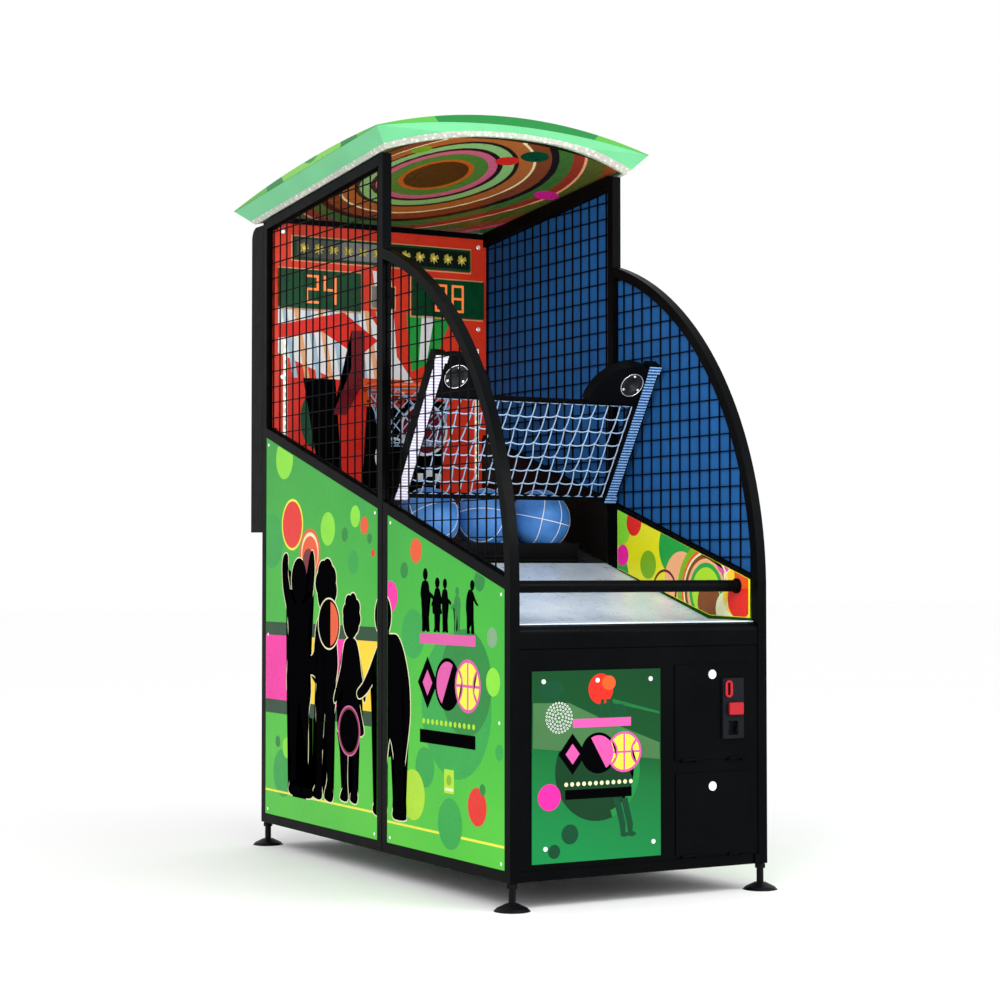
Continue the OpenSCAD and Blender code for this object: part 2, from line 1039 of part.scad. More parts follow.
module reject_button() {
    color("#c21a1e")
        translate([306, -13.4, 521])
            rotate([90, 0, 0]) {
                linear_extrude(6)
                    hull()
                        for (x = [-20, 20], z = [-13, 13])
                            translate([x, z])
                                circle(r = 4);
                translate([0, 0, -26])
                    cylinder(d = 12, h = 26);
            }
}

module coin_mech() {
    color("#4a4d52")
        difference() {
            box([250, 34, 440], [345, 100, 600]);
            box([281, 33, 560], [289, 90, 594]);
        }
    color("#4a4d52")
        box([262, 2.8, 600], [334, 60, 608]);
}

module cash_door() {
    color("#1b1c1f") {
        front_plate(-0.6, 3.2)
            difference() {
                translate([cash_x[0], cash_z[0]])
                    square([cash_x[1] - cash_x[0], cash_z[1] - cash_z[0]]);
                translate([lock_x, 304])
                    circle(d = 20.4);
            }
        door_hinge(lock_x, cash_z[0]);
    }
}

module cash_lock() {
    color("#e3e5e8")
        translate([lock_x, -1, 304])
            rotate([0, -90, 0])
                cam_lock(36);
}

module cash_box() {
    color("#8d9196") {
        difference() {
            box([130, 60, 116], [340, 300, 236]);
            box([132, 62, 118], [338, 298, 240]);
        }
        box([195, 54, 170], [275, 59.8, 186]);
    }
}

module foot() {
    cylinder(d1 = 100, d2 = 84, h = 8);
    translate([0, 0, 8])
        cylinder(d1 = 84, d2 = 34, h = 12);
    cylinder(d = 20, h = foot_h + 20);
    translate([0, 0, foot_h - 14])
        cylinder(d = 32, h = 12, $fn = 6);
}

module foot_at(i) {
    color("#26282b")
        translate([feet[i][0] * (half_w - 15), feet[i][1], 0])
            foot();
}

module foot_fl() {
    foot_at(0);
}

module foot_fr() {
    foot_at(1);
}

module foot_rl() {
    foot_at(2);
}

module foot_rr() {
    foot_at(3);
}

at_origin() front_frame();
at_origin() rear_frame();
at_origin() arc_tubes();
at_origin() panel_front();
at_origin() panel_rear();
at_origin() mesh_left();
at_origin() mesh_right();
at_origin() screen_right();
at_origin() inner_panels();
at_origin() cheeks();
at_origin() deck();
at_origin() deck_lip();
at_origin() hand_rail();
at_origin() ball_ramp();
at_origin() ball_gate();
at_origin() gate_motor();
at_origin() ball_1();
at_origin() ball_2();
at_origin() ball_3();
at_origin() backboard();
at_origin() message_strip();
at_origin() time_display();
at_origin() score_display();
at_origin() led_strips();
at_origin() hoop_rim();
at_origin() hoop_bracket();
at_origin() hoop_net();
at_origin() net_bars();
at_origin() ball_net();
at_origin() light_channels();
at_origin() light_lenses();
at_origin() speaker_pods();
at_origin() speakers();
at_origin() canopy_shell();
at_origin() canopy_fascia();
at_origin() canopy_trim();
at_origin() canopy_ceiling();
at_origin() back_panel();
at_origin() base_board();
at_origin() rear_box();
at_origin() rear_door();
at_origin() rear_lock();
at_origin() power_inlet();
at_origin() power_supply();
at_origin() control_board();
at_origin() front_fascia();
at_origin() window();
at_origin() window_screws();
at_origin() coin_door();
at_origin() coin_lock();
at_origin() coin_bezel();
at_origin() reject_button();
at_origin() coin_mech();
at_origin() cash_door();
at_origin() cash_lock();
at_origin() cash_box();
at_origin() foot_fl();
at_origin() foot_fr();
at_origin() foot_rl();
at_origin() foot_rr();
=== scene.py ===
import json
import math
import random

import bmesh
import bpy
from mathutils import Matrix, Vector


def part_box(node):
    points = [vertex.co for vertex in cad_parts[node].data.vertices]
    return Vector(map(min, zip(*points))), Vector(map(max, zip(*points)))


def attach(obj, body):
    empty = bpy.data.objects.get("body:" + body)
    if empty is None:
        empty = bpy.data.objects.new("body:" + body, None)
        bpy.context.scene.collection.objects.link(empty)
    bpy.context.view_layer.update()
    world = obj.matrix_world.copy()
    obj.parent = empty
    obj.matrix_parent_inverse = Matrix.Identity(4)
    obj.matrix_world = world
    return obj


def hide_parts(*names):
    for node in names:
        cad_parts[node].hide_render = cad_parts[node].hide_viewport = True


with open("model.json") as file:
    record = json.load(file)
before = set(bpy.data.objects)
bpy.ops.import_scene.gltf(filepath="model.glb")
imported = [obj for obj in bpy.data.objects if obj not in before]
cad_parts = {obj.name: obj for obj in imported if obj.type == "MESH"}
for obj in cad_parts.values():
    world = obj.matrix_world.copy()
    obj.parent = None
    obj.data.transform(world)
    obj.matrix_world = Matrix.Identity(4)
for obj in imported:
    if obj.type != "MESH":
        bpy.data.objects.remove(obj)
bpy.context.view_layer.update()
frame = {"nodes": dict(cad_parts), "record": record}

RNG = random.Random(7)
NODES = frame["nodes"]

# ---------------------------------------------------------------- positions
# Design positions are in millimetres with y = 0 on the front plane.
FRONT_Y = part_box("front_frame")[0][1]


def at(x, y, z):
    return Vector((x / 1000.0, FRONT_Y + y / 1000.0, z / 1000.0))


# ---------------------------------------------------------------- colours
def lin(c):
    c = c / 255.0
    return c / 12.92 if c <= 0.04045 else ((c + 0.055) / 1.055) ** 2.4


def rgb(r, g, b):
    return (lin(r), lin(g), lin(b), 1.0)


# ---------------------------------------------------------------- materials
class Mat:
    """A small helper around one node material."""

    def __init__(self, name):
        self.m = bpy.data.materials.new(name)
        self.m.use_nodes = True
        self.nt = self.m.node_tree
        self.b = self.nt.nodes["Principled BSDF"]
        self.tc = self.nt.nodes.new("ShaderNodeTexCoord")

    def new(self, kind, **props):
        n = self.nt.nodes.new(kind)
        for k, v in props.items():
            setattr(n, k, v)
        return n

    def link(self, a, b):
        self.nt.links.new(a, b)

    def noise(self, scale, detail=4.0, rough=0.55):
        n = self.new("ShaderNodeTexNoise")
        n.inputs["Scale"].default_value = scale
        n.inputs["Detail"].default_value = detail
        n.inputs["Roughness"].default_value = rough
        self.link(self.tc.outputs["Object"], n.inputs["Vector"])
        return n.outputs["Fac"]

    def ramp(self, fac, stops, mode="LINEAR"):
        r = self.new("ShaderNodeValToRGB")
        r.color_ramp.interpolation = mode
        e = r.color_ramp.elements
        while len(e) < len(stops):
            e.new(0.5)
        for i, (p, c) in enumerate(stops):
            e[i].position = p
            e[i].color = c
        self.link(fac, r.inputs["Fac"])
        return r.outputs["Color"]

    def span(self, fac, lo, hi, a=0.3, b=0.7):
        r = self.new("ShaderNodeMapRange")
        r.inputs["From Min"].default_value = a
        r.inputs["From Max"].default_value = b
        r.inputs["To Min"].default_value = lo
        r.inputs["To Max"].default_value = hi
        self.link(fac, r.inputs["Value"])
        return r.outputs["Result"]

    def bump(self, fac, strength, dist=0.001, normal=None):
        b = self.new("ShaderNodeBump")
        b.inputs["Strength"].default_value = strength
        b.inputs["Distance"].default_value = dist
        self.link(fac, b.inputs["Height"])
        if normal is not None:
            self.link(normal, b.inputs["Normal"])
        return b.outputs["Normal"]

    def set(self, **kw):
        for k, v in kw.items():
            key = k.replace("_", " ")
            sock = self.b.inputs[key]
            if hasattr(v, "is_linked"):
                self.link(v, sock)
            else:
                sock.default_value = v
        return self


def shade(c, k):
    return (min(c[0] * k, 1), min(c[1] * k, 1), min(c[2] * k, 1), 1.0)


def coated(name, color, rough=0.35, vary=0.14, grain=900.0, bump=0.08, metallic=0.0, coat=0.0, wear=True,
           spec=0.3):
    """Painted or moulded surface: mottled colour, uneven gloss, fine grain."""
    m = Mat(name)
    big = m.noise(6.0)
    col = m.ramp(big, [(0.3, shade(color, 1 - vary)), (0.7, shade(color, 1 + vary))])
    if wear:
        fine = m.noise(55.0, 6.0, 0.7)
        mix = m.new("ShaderNodeMixRGB")
        m.link(m.span(fine, 0.0, 0.16, 0.58, 0.78), mix.inputs["Fac"])
        m.link(col, mix.inputs["Color1"])
        mix.inputs["Color2"].default_value = tuple(min(c * 1.15 + 0.012, 1) for c in color[:3]) + (1.0,)
        col = mix.outputs["Color"]
    m.set(Base_Color=col, Roughness=m.span(m.noise(22.0), rough * 0.82, rough * 1.2),
          Normal=m.bump(m.noise(grain, 2.0), bump, 0.0004))
    m.b.inputs["Metallic"].default_value = metallic
    m.b.inputs["Coat Weight"].default_value = coat
    m.b.inputs["Specular IOR Level"].default_value = spec
    return m


def glow(name, color, strength, base=None, rough=0.35, ripple=60.0):
    m = coated(name, base or color, rough, 0.06, 500.0, 0.05, wear=False)
    fac = m.noise(ripple, 3.0)
    m.set(Emission_Color=m.ramp(fac, [(0.3, shade(color, 0.8)), (0.7, shade(color, 1.12))]))
    m.b.inputs["Emission Strength"].default_value = strength
    return m


M = {}
M["frame_black"] = coated("frame_paint", rgb(6, 7, 8), 0.34, 0.25, 1400.0, 0.1, spec=0.025)
M["mesh_wire"] = coated("wire_paint", rgb(5, 5, 7), 0.45, 0.25, 2000.0, 0.12, spec=0.02)
M["blue_sheet"] = coated("blue_sheet", rgb(30, 86, 144), 0.6, 0.12, 300.0, 0.04, spec=0.1)
M["inner_print"] = coated("inner_yellow", rgb(226, 222, 22), 0.3, 0.05, 700.0, 0.04, wear=False)
M["black_board"] = coated("black_laminate", rgb(15, 13, 12), 0.45, 0.5, 160.0, 0.15, spec=0.08)
M["ramp_black"] = coated("ramp_rubber", rgb(26, 27, 30), 0.6, 0.4, 420.0, 0.3, spec=0.2)
M["gate_black"] = coated("gate_paint", rgb(12, 12, 14), 0.38, 0.2, 1200.0, 0.1, spec=0.1)
M["machinery"] = coated("cast_metal", rgb(150, 154, 160), 0.38, 0.15, 600.0, 0.2, metallic=0.9)
M["board_red"] = coated("board_red", rgb(226, 58, 34), 0.3, 0.12, 500.0, 0.03, wear=False, spec=0.2)
M["display_dark"] = coated("display_green", rgb(4, 66, 34), 0.3, 0.35, 500.0, 0.02, wear=False, spec=0.15)
M["rim_orange"] = coated("rim_enamel", rgb(214, 78, 22), 0.25, 0.12, 900.0, 0.06, coat=0.3)
M["pod_black"] = coated("pod_moulding", rgb(6, 7, 9), 0.45, 0.25, 1600.0, 0.35, spec=0.03)
M["speaker_grey"] = coated("speaker_cone", rgb(24, 25, 28), 0.48, 0.3, 900.0, 0.25, spec=0.25)
M["bezel_black"] = coated("bezel_moulding", rgb(16, 17, 23), 0.45, 0.2, 1800.0, 0.3, spec=0.1)
M["button_red"] = glow("button_red", rgb(190, 24, 34), 0.06, rgb(164, 18, 30), 0.25)
M["circuit_green"] = coated("solder_mask", rgb(18, 92, 48), 0.35, 0.2, 700.0, 0.15)
M["foot_black"] = coated("foot_cast", rgb(8, 8, 12), 0.45, 0.3, 700.0, 0.3, metallic=0.1, spec=0.1)
M["led_white"] = glow("led_strip", rgb(226, 236, 214), 0.4, rgb(200, 206, 196))
M["fascia_mint"] = glow("fascia_mint", rgb(96, 206, 140), 0.05, rgb(104, 190, 134), 0.34, 14.0)
M["cord_white"] = coated("net_cord", rgb(150, 176, 206), 0.75, 0.14, 2600.0, 0.6, spec=0.2)


def panel_green():
    """Printed laminate: bright green with a slow light-to-dark drift."""
    m = Mat("panel_green")
    grad = m.new("ShaderNodeSeparateXYZ")
    m.link(m.tc.outputs["Object"], grad.inputs["Vector"])
    mix = m.new("ShaderNodeMath", operation="MULTIPLY_ADD")
    m.link(m.noise(1.6, 2.0), mix.inputs[0])
    mix.inputs[1].default_value = 0.55
    m.link(m.span(grad.outputs["Z"], 0.0, 0.5, 0.1, 1.4), mix.inputs[2])
    col = m.ramp(mix.outputs[0], [(0.2, rgb(80, 196, 46)), (0.5, rgb(54, 176, 44)), (0.8, rgb(34, 152, 44))])
    m.set(Base_Color=col, Roughness=m.span(m.noise(14.0), 0.26, 0.38),
          Normal=m.bump(m.noise(700.0, 2.0), 0.03, 0.0003))
    m.b.inputs["Specular IOR Level"].default_value = 0.2
    return m


def window_green():
    m = Mat("window_green")
    sep = m.new("ShaderNodeSeparateXYZ")
    m.link(m.tc.outputs["Object"], sep.inputs["Vector"])
    tilt = m.new("ShaderNodeMath", operation="MULTIPLY_ADD")
    m.link(sep.outputs["X"], tilt.inputs[0])
    tilt.inputs[1].default_value = 0.25
    m.link(sep.outputs["Z"], tilt.inputs[2])
    col = m.ramp(m.span(tilt.outputs[0], 0, 1, 0.08, 0.64),
                 [(0.0, rgb(4, 132, 64)), (0.45, rgb(3, 104, 46)), (0.62, rgb(2, 72, 30)),
                  (1.0, rgb(3, 58, 24))])
    m.set(Base_Color=col, Roughness=m.span(m.noise(9.0), 0.1, 0.2),
          Normal=m.bump(m.noise(3.0, 2.0), 0.02, 0.002))
    m.b.inputs["Specular IOR Level"].default_value = 0.2
    return m


def deck_metal():
    """Pale rolled metal with a soft raised pattern."""
    m = Mat("deck_metal")
    waves = []
    for along in ("X", "Y"):
        w = m.new("ShaderNodeTexWave", wave_type="BANDS", bands_direction=along)
        w.inputs["Scale"].default_value = 16.0
        m.link(m.tc.outputs["Object"], w.inputs["Vector"])
        waves.append(w.outputs["Fac"])
    plaid = m.new("ShaderNodeMath", operation="MULTIPLY")
    m.link(waves[0], plaid.inputs[0])
    m.link(waves[1], plaid.inputs[1])
    col = m.ramp(m.noise(5.0), [(0.25, rgb(184, 198, 214)), (0.6, rgb(218, 230, 244)),
                                (0.8, rgb(238, 246, 252))])
    n1 = m.bump(plaid.outputs[0], 0.12, 0.0006)
    n2 = m.bump(m.noise(220.0, 2.0), 0.05, 0.0003, n1)
    m.set(Base_Color=col, Roughness=m.span(m.noise(30.0), 0.24, 0.42), Normal=n2)
    m.b.inputs["Metallic"].default_value = 0.3
    return m


def ball_rubber():
    m = Mat("ball_rubber")
    v = m.new("ShaderNodeTexVoronoi", feature="F1")
    v.inputs["Scale"].default_value = 420.0
    m.link(m.tc.outputs["Object"], v.inputs["Vector"])
    col = m.ramp(m.noise(14.0), [(0.3, rgb(48, 106, 178)), (0.7, rgb(78, 138, 208))])
    m.set(Base_Color=col, Roughness=m.span(m.noise(40.0), 0.36, 0.52),
          Normal=m.bump(v.outputs["Distance"], 0.45, 0.0012))
    m.b.inputs["Specular IOR Level"].default_value = 0.3
    return m


def swirl(name, centre, stops, scale, warp, rough=0.3, painted_glow=0.0, squash=(1, 1, 1)):
    """Concentric printed rings with a little wander, set by distance from a centre."""
    m = Mat(name)
    sub = m.new("ShaderNodeVectorMath", operation="SUBTRACT")
    m.link(m.tc.outputs["Object"], sub.inputs[0])
    sub.inputs[1].default_value = tuple(centre)
    mul = m.new("ShaderNodeVectorMath", operation="MULTIPLY")
    m.link(sub.outputs[0], mul.inputs[0])
    mul.inputs[1].default_value = squash
    ln = m.new("ShaderNodeVectorMath", operation="LENGTH")
    m.link(mul.outputs[0], ln.inputs[0])
    add = m.new("ShaderNodeMath", operation="MULTIPLY_ADD")
    m.link(m.noise(1.7, 0.0), add.inputs[0])
    add.inputs[1].default_value = warp
    m.link(ln.outputs["Value"], add.inputs[2])
    col = m.ramp(m.span(add.outputs[0], 0, 1, warp * 0.5, scale), stops, "CONSTANT")
    m.set(Base_Color=col, Roughness=m.span(m.noise(12.0), rough * 0.8, rough * 1.2),
          Normal=m.bump(m.noise(500.0, 2.0), 0.03, 0.0003))
    m.b.inputs["Specular IOR Level"].default_value = 0.2
    # The glow is painted light: the print gives off its own colour, so it reads brighter than the light reaching it.
    if painted_glow:
        m.set(Emission_Color=col)
        m.b.inputs["Emission Strength"].default_value = painted_glow
    return m


def trim_diffuser():
    """Pale moulded edge with small lit dots behind it."""
    m = Mat("trim_white")
    v = m.new("ShaderNodeTexVoronoi", feature="F1")
    v.inputs["Scale"].default_value = 74.0
    m.link(m.tc.outputs["Object"], v.inputs["Vector"])
    dots = m.ramp(v.outputs["Distance"], [(0.16, rgb(250, 252, 244)), (0.3, rgb(206, 212, 196)),
                                          (0.55, rgb(186, 190, 184))])
    tint = m.new("ShaderNodeMixRGB", blend_type="MULTIPLY")
    tint.inputs["Fac"].default_value = 0.6
    m.link(dots, tint.inputs["Color1"])
    m.link(m.ramp(m.noise(9.0), [(0.35, rgb(230, 214, 212)), (0.6, rgb(222, 236, 214))]),
           tint.inputs["Color2"])
    m.set(Base_Color=tint.outputs["Color"], Emission_Color=dots, Roughness=m.span(m.noise(24.0), 0.3, 0.45),
          Normal=m.bump(v.outputs["Distance"], 0.15, 0.0006))
    m.b.inputs["Emission Strength"].default_value = 0.06
    return m


def sheen_glow_chrome():
    # Bright metal with a painted sheen: a white glow keeps it reading shiny under any light.
    m = Mat("bright_metal")
    m.set(Base_Color=m.ramp(m.noise(80.0), [(0.3, rgb(226, 228, 232)), (0.7, rgb(250, 250, 252))]),
          Roughness=m.span(m.noise(120.0), 0.12, 0.3))
    m.b.inputs["Metallic"].default_value = 0.85
    # Painted sheen: this white glow makes the metal look bright whatever light falls on it.
    m.set(Emission_Color=rgb(250, 250, 250))
    m.b.inputs["Emission Strength"].default_value = 0.25
    return m


def lens():
    """Ribbed bar lens: blue-grey body with fine bright ribs."""
    m = Mat("lens_ribbed")
    w = m.new("ShaderNodeTexWave", wave_type="BANDS", bands_direction="Z")
    w.inputs["Scale"].default_value = 38.0
    w.inputs["Distortion"].default_value = 1.2
    w.inputs["Detail Scale"].default_value = 6.0
    m.link(m.tc.outputs["Object"], w.inputs["Vector"])
    col = m.ramp(w.outputs["Fac"], [(0.2, rgb(34, 70, 120)), (0.75, rgb(78, 122, 176)),
                                    (0.95, rgb(160, 196, 232))])
    sep = m.new("ShaderNodeSeparateXYZ")
    m.link(m.tc.outputs["Object"], sep.inputs["Vector"])
    mix = m.new("ShaderNodeMixRGB")
    m.link(m.span(sep.outputs["X"], 0.0, 1.0, -0.02, 0.02), mix.inputs["Fac"])
    m.link(m.ramp(w.outputs["Fac"], [(0.2, rgb(176, 172, 196)), (0.9, rgb(232, 228, 240))]),
           mix.inputs["Color1"])
    m.link(col, mix.inputs["Color2"])
    m.set(Base_Color=mix.outputs["Color"], Roughness=m.span(m.noise(60.0), 0.18, 0.32),
          Emission_Color=mix.outputs["Color"], Normal=m.bump(w.outputs["Fac"], 0.3, 0.001))
    m.b.inputs["Emission Strength"].default_value = 0.1
    m.b.inputs["Specular IOR Level"].default_value = 0.2
    return m


ROOF_STOPS = [(0.0, rgb(86, 140, 50)), (0.14, rgb(54, 150, 62)), (0.24, rgb(170, 140, 110)),
              (0.3, rgb(38, 130, 56)),
              (0.42, rgb(110, 180, 70)), (0.5, rgb(140, 120, 88)), (0.58, rgb(44, 140, 60)),
              (0.7, rgb(120, 192, 84)),
              (0.8, rgb(34, 124, 58)), (0.9, rgb(84, 168, 66))]
CEIL_STOPS = [(0.0, rgb(62, 40, 6)), (0.15, rgb(176, 84, 20)), (0.175, rgb(62, 116, 40)),
              (0.235, rgb(188, 88, 116)),
              (0.275, rgb(26, 16, 10)), (0.30, rgb(126, 176, 106)), (0.35, rgb(32, 20, 10)),
              (0.37, rgb(158, 90, 38)),
              (0.43, rgb(226, 208, 160)), (0.442, rgb(114, 58, 26)), (0.51, rgb(22, 14, 8)),
              (0.54, rgb(56, 98, 38)),
              (0.60, rgb(136, 46, 26)), (0.645, rgb(224, 152, 114)), (0.66, rgb(74, 82, 32)),
              (0.74, rgb(126, 62, 30)),
              (0.80, rgb(188, 62, 110)), (0.83, rgb(52, 86, 34)), (0.92, rgb(112, 50, 28))]
M["graphic_green"] = panel_green()
M["window_print"] = window_green()
M["deck_metal"] = deck_metal()
M["ball_blue"] = ball_rubber()
M["bright_metal"] = sheen_glow_chrome()
M["trim_white"] = trim_diffuser()
M["lens_clear"] = lens()
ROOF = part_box("canopy_shell")
ROOF_C = ((ROOF[0][0] + ROOF[1][0]) / 2, (ROOF[0][1] + ROOF[1][1]) / 2, ROOF[1][2])
CEIL_C = at(-68, 1106, 2180)
M["roof_green"] = swirl("roof_print", ROOF_C, ROOF_STOPS, 0.8, 0.25, 0.3)
# The ceiling print glows as painted light, brightening the shaded underside of the canopy.
M["ceiling_print"] = swirl("ceiling_print", CEIL_C, CEIL_STOPS, 0.7, 0.05, 0.3, 0.22, (1.0, 0.74, 0.0))

SLOT_OF = {s["node"]: s["material_slot"] for s in frame["record"]["subparts"]}
for node, obj in NODES.items():
    mat = M[SLOT_OF[node]].m
    for s in obj.material_slots:
        s.material = mat
    if not obj.material_slots:
        obj.data.materials.append(mat)


# ---------------------------------------------------------------- mesh helpers
def finish_mesh(name, bm, mats, body, smooth=False):
    bmesh.ops.recalc_face_normals(bm, faces=bm.faces)
    me = bpy.data.meshes.new(name)
    bm.to_mesh(me)
    bm.free()
    for m in mats:
        me.materials.append(m.m if isinstance(m, Mat) else m)
    if smooth:
        for p in me.polygons:
            p.use_smooth = True
    ob = bpy.data.objects.new(name, me)
    bpy.context.scene.collection.objects.link(ob)
    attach(ob, body)
    return ob


def clip(poly, keep):
    """Sutherland-Hodgman clip of one outline by a convex one, both counter-clockwise."""
    out = poly
    for i in range(len(keep)):
        a, b = keep[i], keep[(i + 1) % len(keep)]
        src, out = out, []
        if not src:
            return []

        def side(p):
            return (b[0] - a[0]) * (p[1] - a[1]) - (b[1] - a[1]) * (p[0] - a[0])

        for j in range(len(src)):
            p, q = src[j], src[(j + 1) % len(src)]
            sp, sq = side(p), side(q)
            if sp >= 0:
                out.append(p)
            if (sp >= 0) != (sq >= 0):
                t = sp / (sp - sq)
                out.append((p[0] + t * (q[0] - p[0]), p[1] + t * (q[1] - p[1])))
    return out


def ellipse(cx, cy, rx, ry=None, n=40):
    ry = rx if ry is None else ry
    return [(cx + rx * math.cos(2 * math.pi * i / n),
             cy + ry * math.sin(2 * math.pi * i / n)) for i in range(n)]


def box2(x0, y0, x1, y1):
    return [(x0, y0), (x1, y0), (x1, y1), (x0, y1)]


def smooth(pts, k=5):
    """Closed Catmull-Rom curve through the points."""
    out, n = [], len(pts)
    for i in range(n):
        p0, p1, p2, p3 = pts[i - 1], pts[i], pts[(i + 1) % n], pts[(i + 2) % n]
        for j in range(k):
            t = j / k
            out.append(tuple(0.5 * (2 * b + (c - a) * t + (2 * a - 5 * b + 4 * c - d) * t * t +
                                    (3 * b - a - 3 * c + d) * t ** 3) for a, b, c, d in zip(p0, p1, p2, p3)))
    return out


def area2(poly):
    return sum(poly[i - 1][0] * poly[i][1] - poly[i][0] * poly[i - 1][1] for i in range(len(poly))) / 2


# Faces that carry printed film, in design millimetres.
SIDE_FACE = 424.0
INNER_FACE = 389.0
WINDOW_FACE = -1.0
BOARD_FACE = 1618.0


class Art:
    """Printed film on a surface: each shape is a thin closed plate, the later layers a little higher."""

    def __init__(self, place, normal, keep, film=0.08, step=0.008):
        self.place, self.normal, self.keep = place, normal, keep
        self.film, self.step = film, step
        self.shapes = []

    def add(self, outline, mat, layer=0):
        self.shapes.append((layer, len(self.shapes), outline, mat))

    def ring(self, cx, cy, r, w, mat, layer=0, n=40, a0=0.0, a1=360.0, ratio=1.0):
        """Ring or arc as one shape; a full ring is made of two halves."""
        spans = [(a0, a1)] if a1 - a0 < 359 else [(a0, a0 + 180), (a0 + 180, a1)]
        for b0, b1 in spans:
            t = [math.radians(b0 + (b1 - b0) * i / n) for i in range(n + 1)]
            outer = [(cx + r * math.cos(v) * ratio, cy + r * math.sin(v)) for v in t]
            inner = [(cx + (r - w) * math.cos(v) * ratio, cy + (r - w) * math.sin(v)) for v in reversed(t)]
            self.add(outer + inner, mat, layer)

    def done(self, name, body):
        bm, mats = bmesh.new(), []
        for k, (_, _, outline, mat) in enumerate(sorted(self.shapes, key=lambda q: q[:2])):
            if area2(outline) < 0:
                outline = outline[::-1]
            pts = clip(outline, self.keep)
            tidy = []
            for p in pts:
                if not tidy or math.dist(p, tidy[-1]) > 0.08:
                    tidy.append(p)
            while len(tidy) > 2 and math.dist(tidy[0], tidy[-1]) <= 0.08:
                tidy.pop()
            if len(tidy) < 3 or area2(tidy) < 2.0:
                continue
            if mat not in mats:
                mats.append(mat)
            hi = (self.film + self.step * k) / 1000
            low = [bm.verts.new(self.place(u, v) + self.normal * 0.00002) for u, v in tidy]
            top = [bm.verts.new(self.place(u, v) + self.normal * hi) for u, v in tidy]
            n = len(tidy)
            faces = [bm.faces.new(low[::-1]), bm.faces.new(top)]
            faces += [bm.faces.new((low[i], low[(i + 1) % n], top[(i + 1) % n], top[i])) for i in range(n)]
            for f in faces:
                f.material_index = mats.index(mat)
        bmesh.ops.triangulate(bm, faces=[f for f in bm.faces if len(f.verts) > 4])
        return finish_mesh(name, bm, mats, body)


def ink(name, r, g, b, rough=0.3, vary=0.06):
    spec = 0.0 if max(r, g, b) < 20 else 0.15
    return coated("ink_" + name, rgb(r, g, b), rough, vary, 600.0, 0.03, wear=False, spec=spec)


INK = {
    "lime": ink("lime", 132, 216, 52), "yellowgreen": ink("yellowgreen", 168, 214, 40),
    "dark": ink("dark", 26, 128, 50), "mid": ink("mid", 40, 158, 64), "deep": ink("deep", 8, 62, 30),
    "red": ink("red", 222, 40, 28), "orange": ink("orange", 226, 84, 34), "pink": ink("pink", 236, 40, 158),
    "rose": ink("rose", 214, 84, 160), "yellow": ink("yellow", 246, 206, 40),
    "lemon": ink("lemon", 232, 230, 70),
    "cream": ink("cream", 226, 226, 180), "black": ink("black", 5, 5, 7),
    "maroon": ink("maroon", 110, 20, 30),
    "white": ink("white", 232, 232, 232), "sage": ink("sage", 120, 160, 120),
    "brown": ink("brown", 128, 70, 30),
    "olive": ink("olive", 120, 172, 30), "forest": ink("forest", 6, 70, 40),
    "skyblue": ink("skyblue", 168, 196, 214), "peach": ink("peach", 236, 170, 120),
}


# Figures on a 100-unit height: body outline, then head centre and radii.
POSES = {
    "reach": ([
        (-17, 98), (-20, 94), (-19, 84), (-15, 76), (-13, 70), (-12, 60), (-14, 50), (-14, 42), (-11, 36),
        (-11, 24), (-9, 12), (-10, 5), (-12, 1), (-7, -1), (1, 0), (1, 3), (-3, 6), (-3, 18), (-2, 28),
        (0, 38), (3, 30), (4, 18), (5, 8), (4, 2), (9, -1), (16, 0), (16, 3), (11, 7), (11, 20), (11, 32),
        (14, 42), (13, 52), (11, 62), (12, 72), (16, 82), (18, 92), (16, 99), (12, 97), (11, 88), (7, 80),
        (4, 77), (0, 76), (-4, 77), (-9, 81), (-13, 89), (-13, 97)],
        (0, 87, 7.6, 9.2)),
    "hold": ([
        (-4, 78), (-10, 76), (-14, 68), (-16, 57), (-13, 48), (-13, 40), (-11, 34), (-11, 22), (-9, 10),
        (-11, 2), (-8, -1), (0, 0), (0, 3), (-3, 8), (-3, 20), (0, 36), (3, 20), (4, 8), (3, 1), (7, -1),
        (15, 0), (14, 3), (10, 8), (10, 22), (11, 34), (12, 42), (11, 50), (18, 52), (25, 49), (28, 51),
        (27, 55), (20, 59), (14, 62), (12, 71), (9, 76), (4, 78)],
        (0, 88, 7.8, 9.4)),
    "skirt": ([
        (-3, 78), (-8, 76), (-12, 69), (-15, 60), (-20, 51), (-18, 48), (-12, 55), (-10, 52), (-14, 42),
        (-18, 33), (-9, 30), (-9, 20), (-8, 9), (-10, 2), (-7, -1), (0, 0), (0, 3), (-3, 8), (-3, 18),
        (-1, 29), (2, 29), (4, 18), (4, 8), (3, 1), (7, -1), (14, 0), (13, 3), (9, 8), (9, 20), (9, 30),
        (18, 33), (14, 43), (10, 53), (15, 50), (21, 46), (23, 48), (18, 56), (12, 66), (9, 75), (3, 78)],
        (0, 87, 8.6, 9.6)),
    "lean": ([
        (2, 80), (-5, 79), (-11, 74), (-18, 64), (-24, 57), (-29, 53), (-27, 50), (-20, 53), (-12, 60),
        (-8, 62), (-8, 50), (-9, 40), (-11, 30), (-10, 18), (-11, 8), (-15, 2), (-12, -1), (-3, 0),
        (-3, 8), (-3, 20), (0, 34), (4, 22), (4, 8), (2, 1), (5, -1), (14, 0), (12, 6), (12, 20), (15, 34),
        (17, 46), (16, 60), (12, 72), (7, 79)],
        (-7, 88, 8.2, 9.6)),
}


